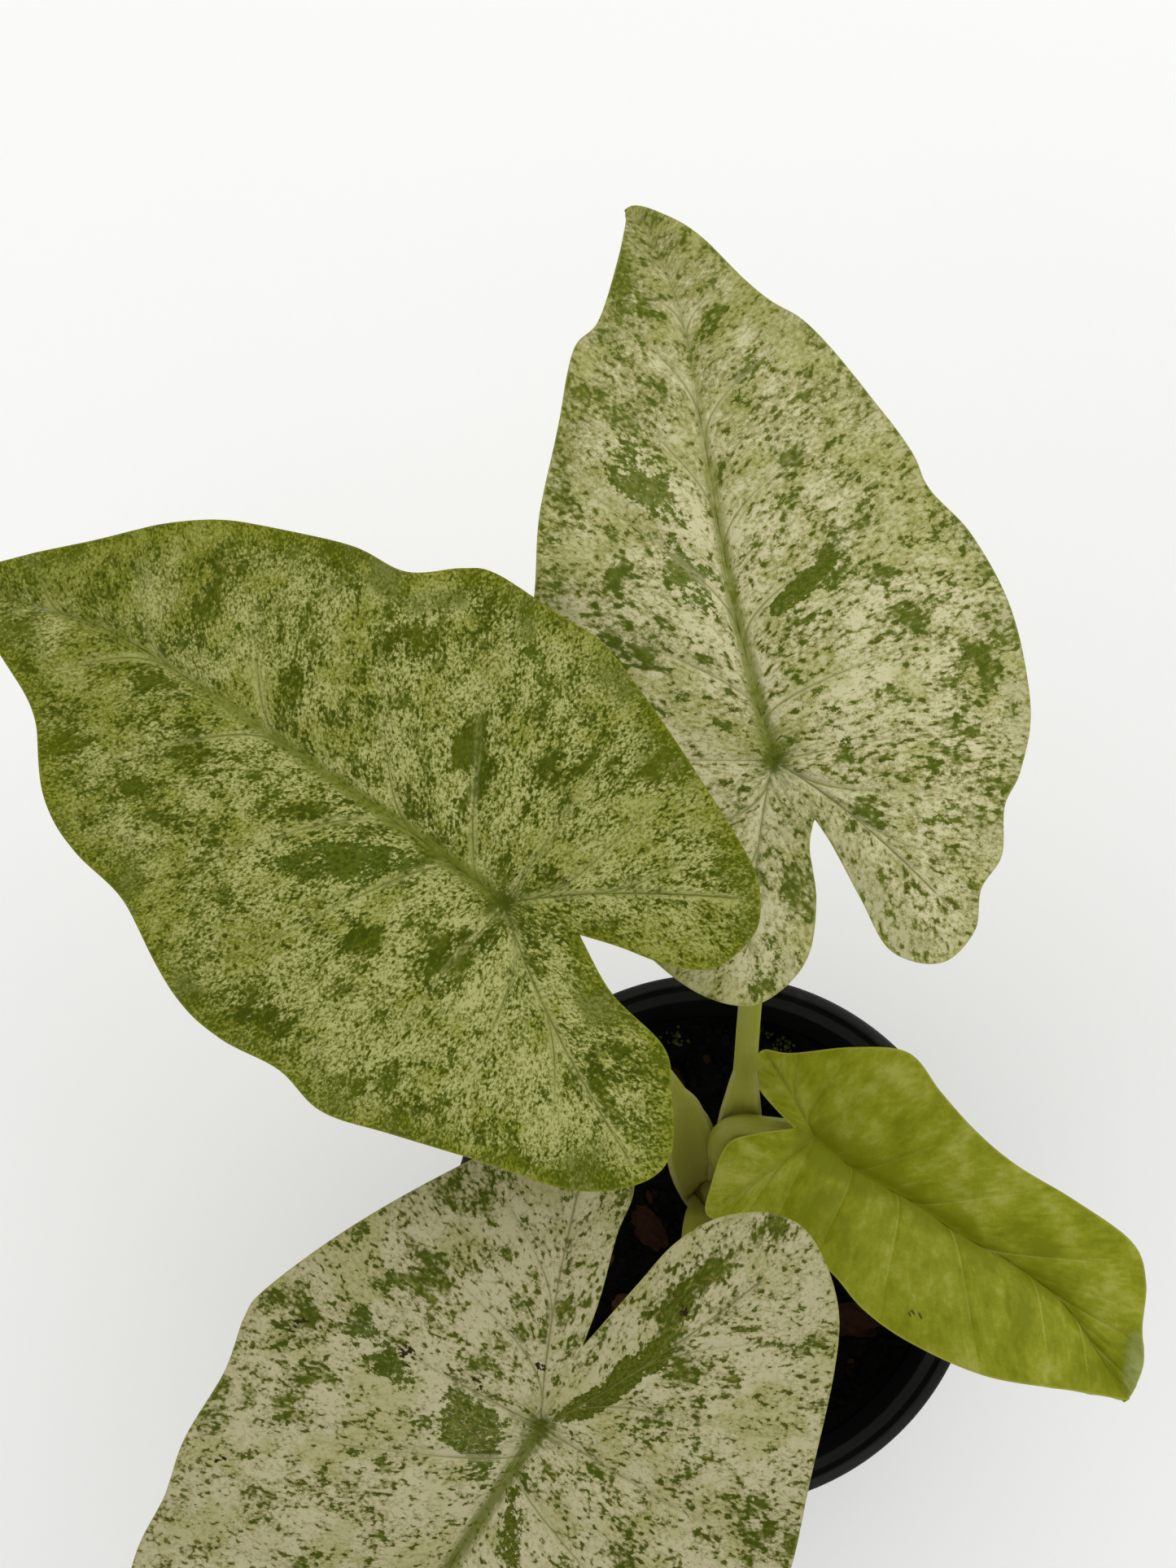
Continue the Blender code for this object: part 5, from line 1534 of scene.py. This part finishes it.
def make_chips(material):
    """Flat angular chips of bark, at the places that the solid model gives them."""
    draw = np.random.default_rng(CHUNK_SEED)
    reach = bed_radius() - CHUNK_FROM_WALL
    spots, sizes = [], []
    for k in range(CHUNK_COUNT):
        angle = GOLDEN_ANGLE * k + CHUNK_TURN
        radius = reach * math.sqrt((k + CHUNK_START) / CHUNK_COUNT)
        x, y = radius * math.cos(angle), radius * math.sin(angle)
        if math.hypot(x - CROWN_CENTRE[0], y - CROWN_CENTRE[1]) >= CHUNK_FROM_CROWN:
            spots.append((x, y))
            sizes.append(draw.uniform(*CHUNK_SIZE))
    sizes = np.array(sizes)
    return set_down(CHIPS, np.array(spots), sizes[:, None] * CHUNK_SHAPE, CHUNK_LIFT * sizes, material)


def make_bits(draw, material):
    """Small splinters of bark between the crumbs."""
    spots = scattered(draw, BIT_COUNT, bed_radius() - LOOSE_FROM_WALL, BITS_FROM_CROWN)
    size = draw.uniform(*BIT_SIZE, len(spots))
    return set_down(BITS, spots, size[:, None] * BIT_SHAPE, BIT_LIFT, material)


def make_moss(draw, material):
    """Small grains of moss, gathered in tufts near the wall."""
    count = MOSS_PER_TUFT * len(MOSS_CENTRES)
    spots = np.repeat(MOSS_CENTRES, MOSS_PER_TUFT, axis=0) + draw.normal(0.0, MOSS_SPREAD, (count, 2))
    spots = spots[np.linalg.norm(spots, axis=1) < bed_radius() - LOOSE_FROM_WALL]
    size = draw.uniform(*MOSS_SIZE, len(spots))
    lift = draw.uniform(*MOSS_LIFT, len(spots))
    sizes = size[:, None] * draw.uniform(*MOSS_STRETCH, (len(spots), 3))
    return set_down(MOSS, spots, sizes, lift, material)


# Operators

class ALOCASIA_OT_blades(bpy.types.Operator):
    """Build the four blades"""

    bl_idname = "alocasia.blades"
    bl_label = "Blades"

    def execute(self, context):
        plant = context.scene.alocasia
        for key in ("upper", "left", "lower"):
            tones = getattr(plant, key)
            seed = BLADES[key].seed
            make_blade(key, mottled_leaf(f"leaf_{key}_face", tones, seed),
                       mottled_leaf(f"leaf_{key}_underside", tones, seed, under=True))
        make_blade("young", young_leaf("leaf_young_face", plant.young),
                   young_leaf("leaf_young_underside", plant.young, under=True))
        return {"FINISHED"}


class ALOCASIA_OT_stems(bpy.types.Operator):
    """Build the crown and the sheathed stalks"""

    bl_idname = "alocasia.stems"
    bl_label = "Stems"

    def execute(self, context):
        make_stems(stem_skin(context.scene.alocasia.stems))
        return {"FINISHED"}


class ALOCASIA_OT_pot(bpy.types.Operator):
    """Build the nursery pot"""

    bl_idname = "alocasia.pot"
    bl_label = "Pot"

    def execute(self, context):
        make_pot(context.scene.alocasia.pot)
        return {"FINISHED"}


class ALOCASIA_OT_mix(bpy.types.Operator):
    """Build the potting mix with its crumbs, bark and moss"""

    bl_idname = "alocasia.mix"
    bl_label = "Potting mix"

    def execute(self, context):
        tones = context.scene.alocasia.mix
        peat = crumb_material("peat", tones.crumb, display(22, 17, 12), display(5, 4, 3))
        make_bed(peat)
        draw = np.random.default_rng(LOOSE_SEED)
        make_crumbs(draw, tones, peat)
        make_chips(crumb_material("bark", tones.bark, display(88, 62, 36), display(20, 12, 8)))
        make_bits(draw, crumb_material("bark_bits", tones.bark, display(88, 70, 36), display(20, 14, 8)))
        make_moss(draw, crumb_material("moss", tones.moss, display(120, 138, 58), display(44, 58, 20)))
        return {"FINISHED"}


class ALOCASIA_OT_stage(bpy.types.Operator):
    """Set up the pale floor, the soft light and the camera"""

    bl_idname = "alocasia.stage"
    bl_label = "Stage"

    def execute(self, context):
        tones = context.scene.alocasia.stage
        if tones.distance <= CAD_BOX[1][2]:
            raise RuntimeError("The camera would stand inside the plant")
        collection = context.scene.collection
        corners = np.array(((-1, -1, 0), (1, -1, 0), (1, 1, 0), (-1, 1, 0))) * FLOOR_HALF / MM
        mesh = make_mesh("floor", corners, np.array(((0, 1, 2, 3),)), weld=False)
        floor = bpy.data.objects.new("floor", mesh)
        collection.objects.link(floor)
        shade = Shade("floor_paper")
        grain = shade.noise(shade.place(), 0.6, 3.0, 0.6) - 0.5
        mesh.materials.append(shade.finish(
            shade.tinted(tones.floor, 1.0 + grain * 0.02), 0.85 + grain * 0.05,
            shade.bump(grain, 0.0001, 0.3), Specular_IOR_Level=0.2, Emission_Strength=tones.glow))

        for name, place, size, share in LAMPS:
            lamp = bpy.data.lights.new(name, "AREA")
            lamp.size = size
            lamp.energy = tones.key * share
            lamp_object = bpy.data.objects.new(name, lamp)
            lamp_object.location = place
            aim = Vector(LAMP_AIM) - Vector(place)
            lamp_object.rotation_euler = aim.to_track_quat("-Z", "Y").to_euler()
            collection.objects.link(lamp_object)

        world = bpy.data.worlds.new("soft_sky")
        world.use_nodes = True
        background = world.node_tree.nodes["Background"]
        background.inputs["Color"].default_value = (1.0, 1.0, 1.0, 1.0)
        background.inputs["Strength"].default_value = tones.sky
        context.scene.world = world

        camera = bpy.data.cameras.new("camera")
        camera.lens = tones.lens
        camera.sensor_width = SENSOR_WIDTH
        camera.clip_start = CLIP_START
        camera_object = bpy.data.objects.new("camera", camera)
        turn = (Matrix.Rotation(math.radians(CAMERA_ROLL), 4, "Y")
                @ Matrix.Rotation(math.radians(CAMERA_PITCH), 4, "X"))
        camera_object.matrix_world = Matrix.Translation((0.0, 0.0, tones.distance)) @ turn
        collection.objects.link(camera_object)
        context.scene.camera = camera_object
        context.scene.view_settings.view_transform = "Standard"
        return {"FINISHED"}


class ALOCASIA_PT_panel(bpy.types.Panel):
    """Buttons that build the plant piece by piece"""

    bl_idname = "ALOCASIA_PT_panel"
    bl_label = "Potted alocasia"
    bl_space_type = "VIEW_3D"
    bl_region_type = "UI"
    bl_category = "Alocasia"

    def draw(self, context):
        for operator in OPERATORS:
            self.layout.operator(operator.bl_idname)


OPERATORS = (ALOCASIA_OT_stage, ALOCASIA_OT_pot, ALOCASIA_OT_mix, ALOCASIA_OT_stems, ALOCASIA_OT_blades)
CLASSES = (UpperTones, LeftTones, LowerTones, YoungTones, StemTones, PotTones, MixTones, StageTones,
           PlantSettings) + OPERATORS + (ALOCASIA_PT_panel,)


def register():
    for cls in CLASSES:
        bpy.utils.register_class(cls)
    bpy.types.Scene.alocasia = PointerProperty(type=PlantSettings)


def unregister():
    del bpy.types.Scene.alocasia
    for cls in reversed(CLASSES):
        bpy.utils.unregister_class(cls)


def main():
    register()
    for operator in (bpy.ops.alocasia.stage, bpy.ops.alocasia.pot, bpy.ops.alocasia.mix,
                     bpy.ops.alocasia.stems, bpy.ops.alocasia.blades):
        operator()


if __name__ == "__main__":
    main()
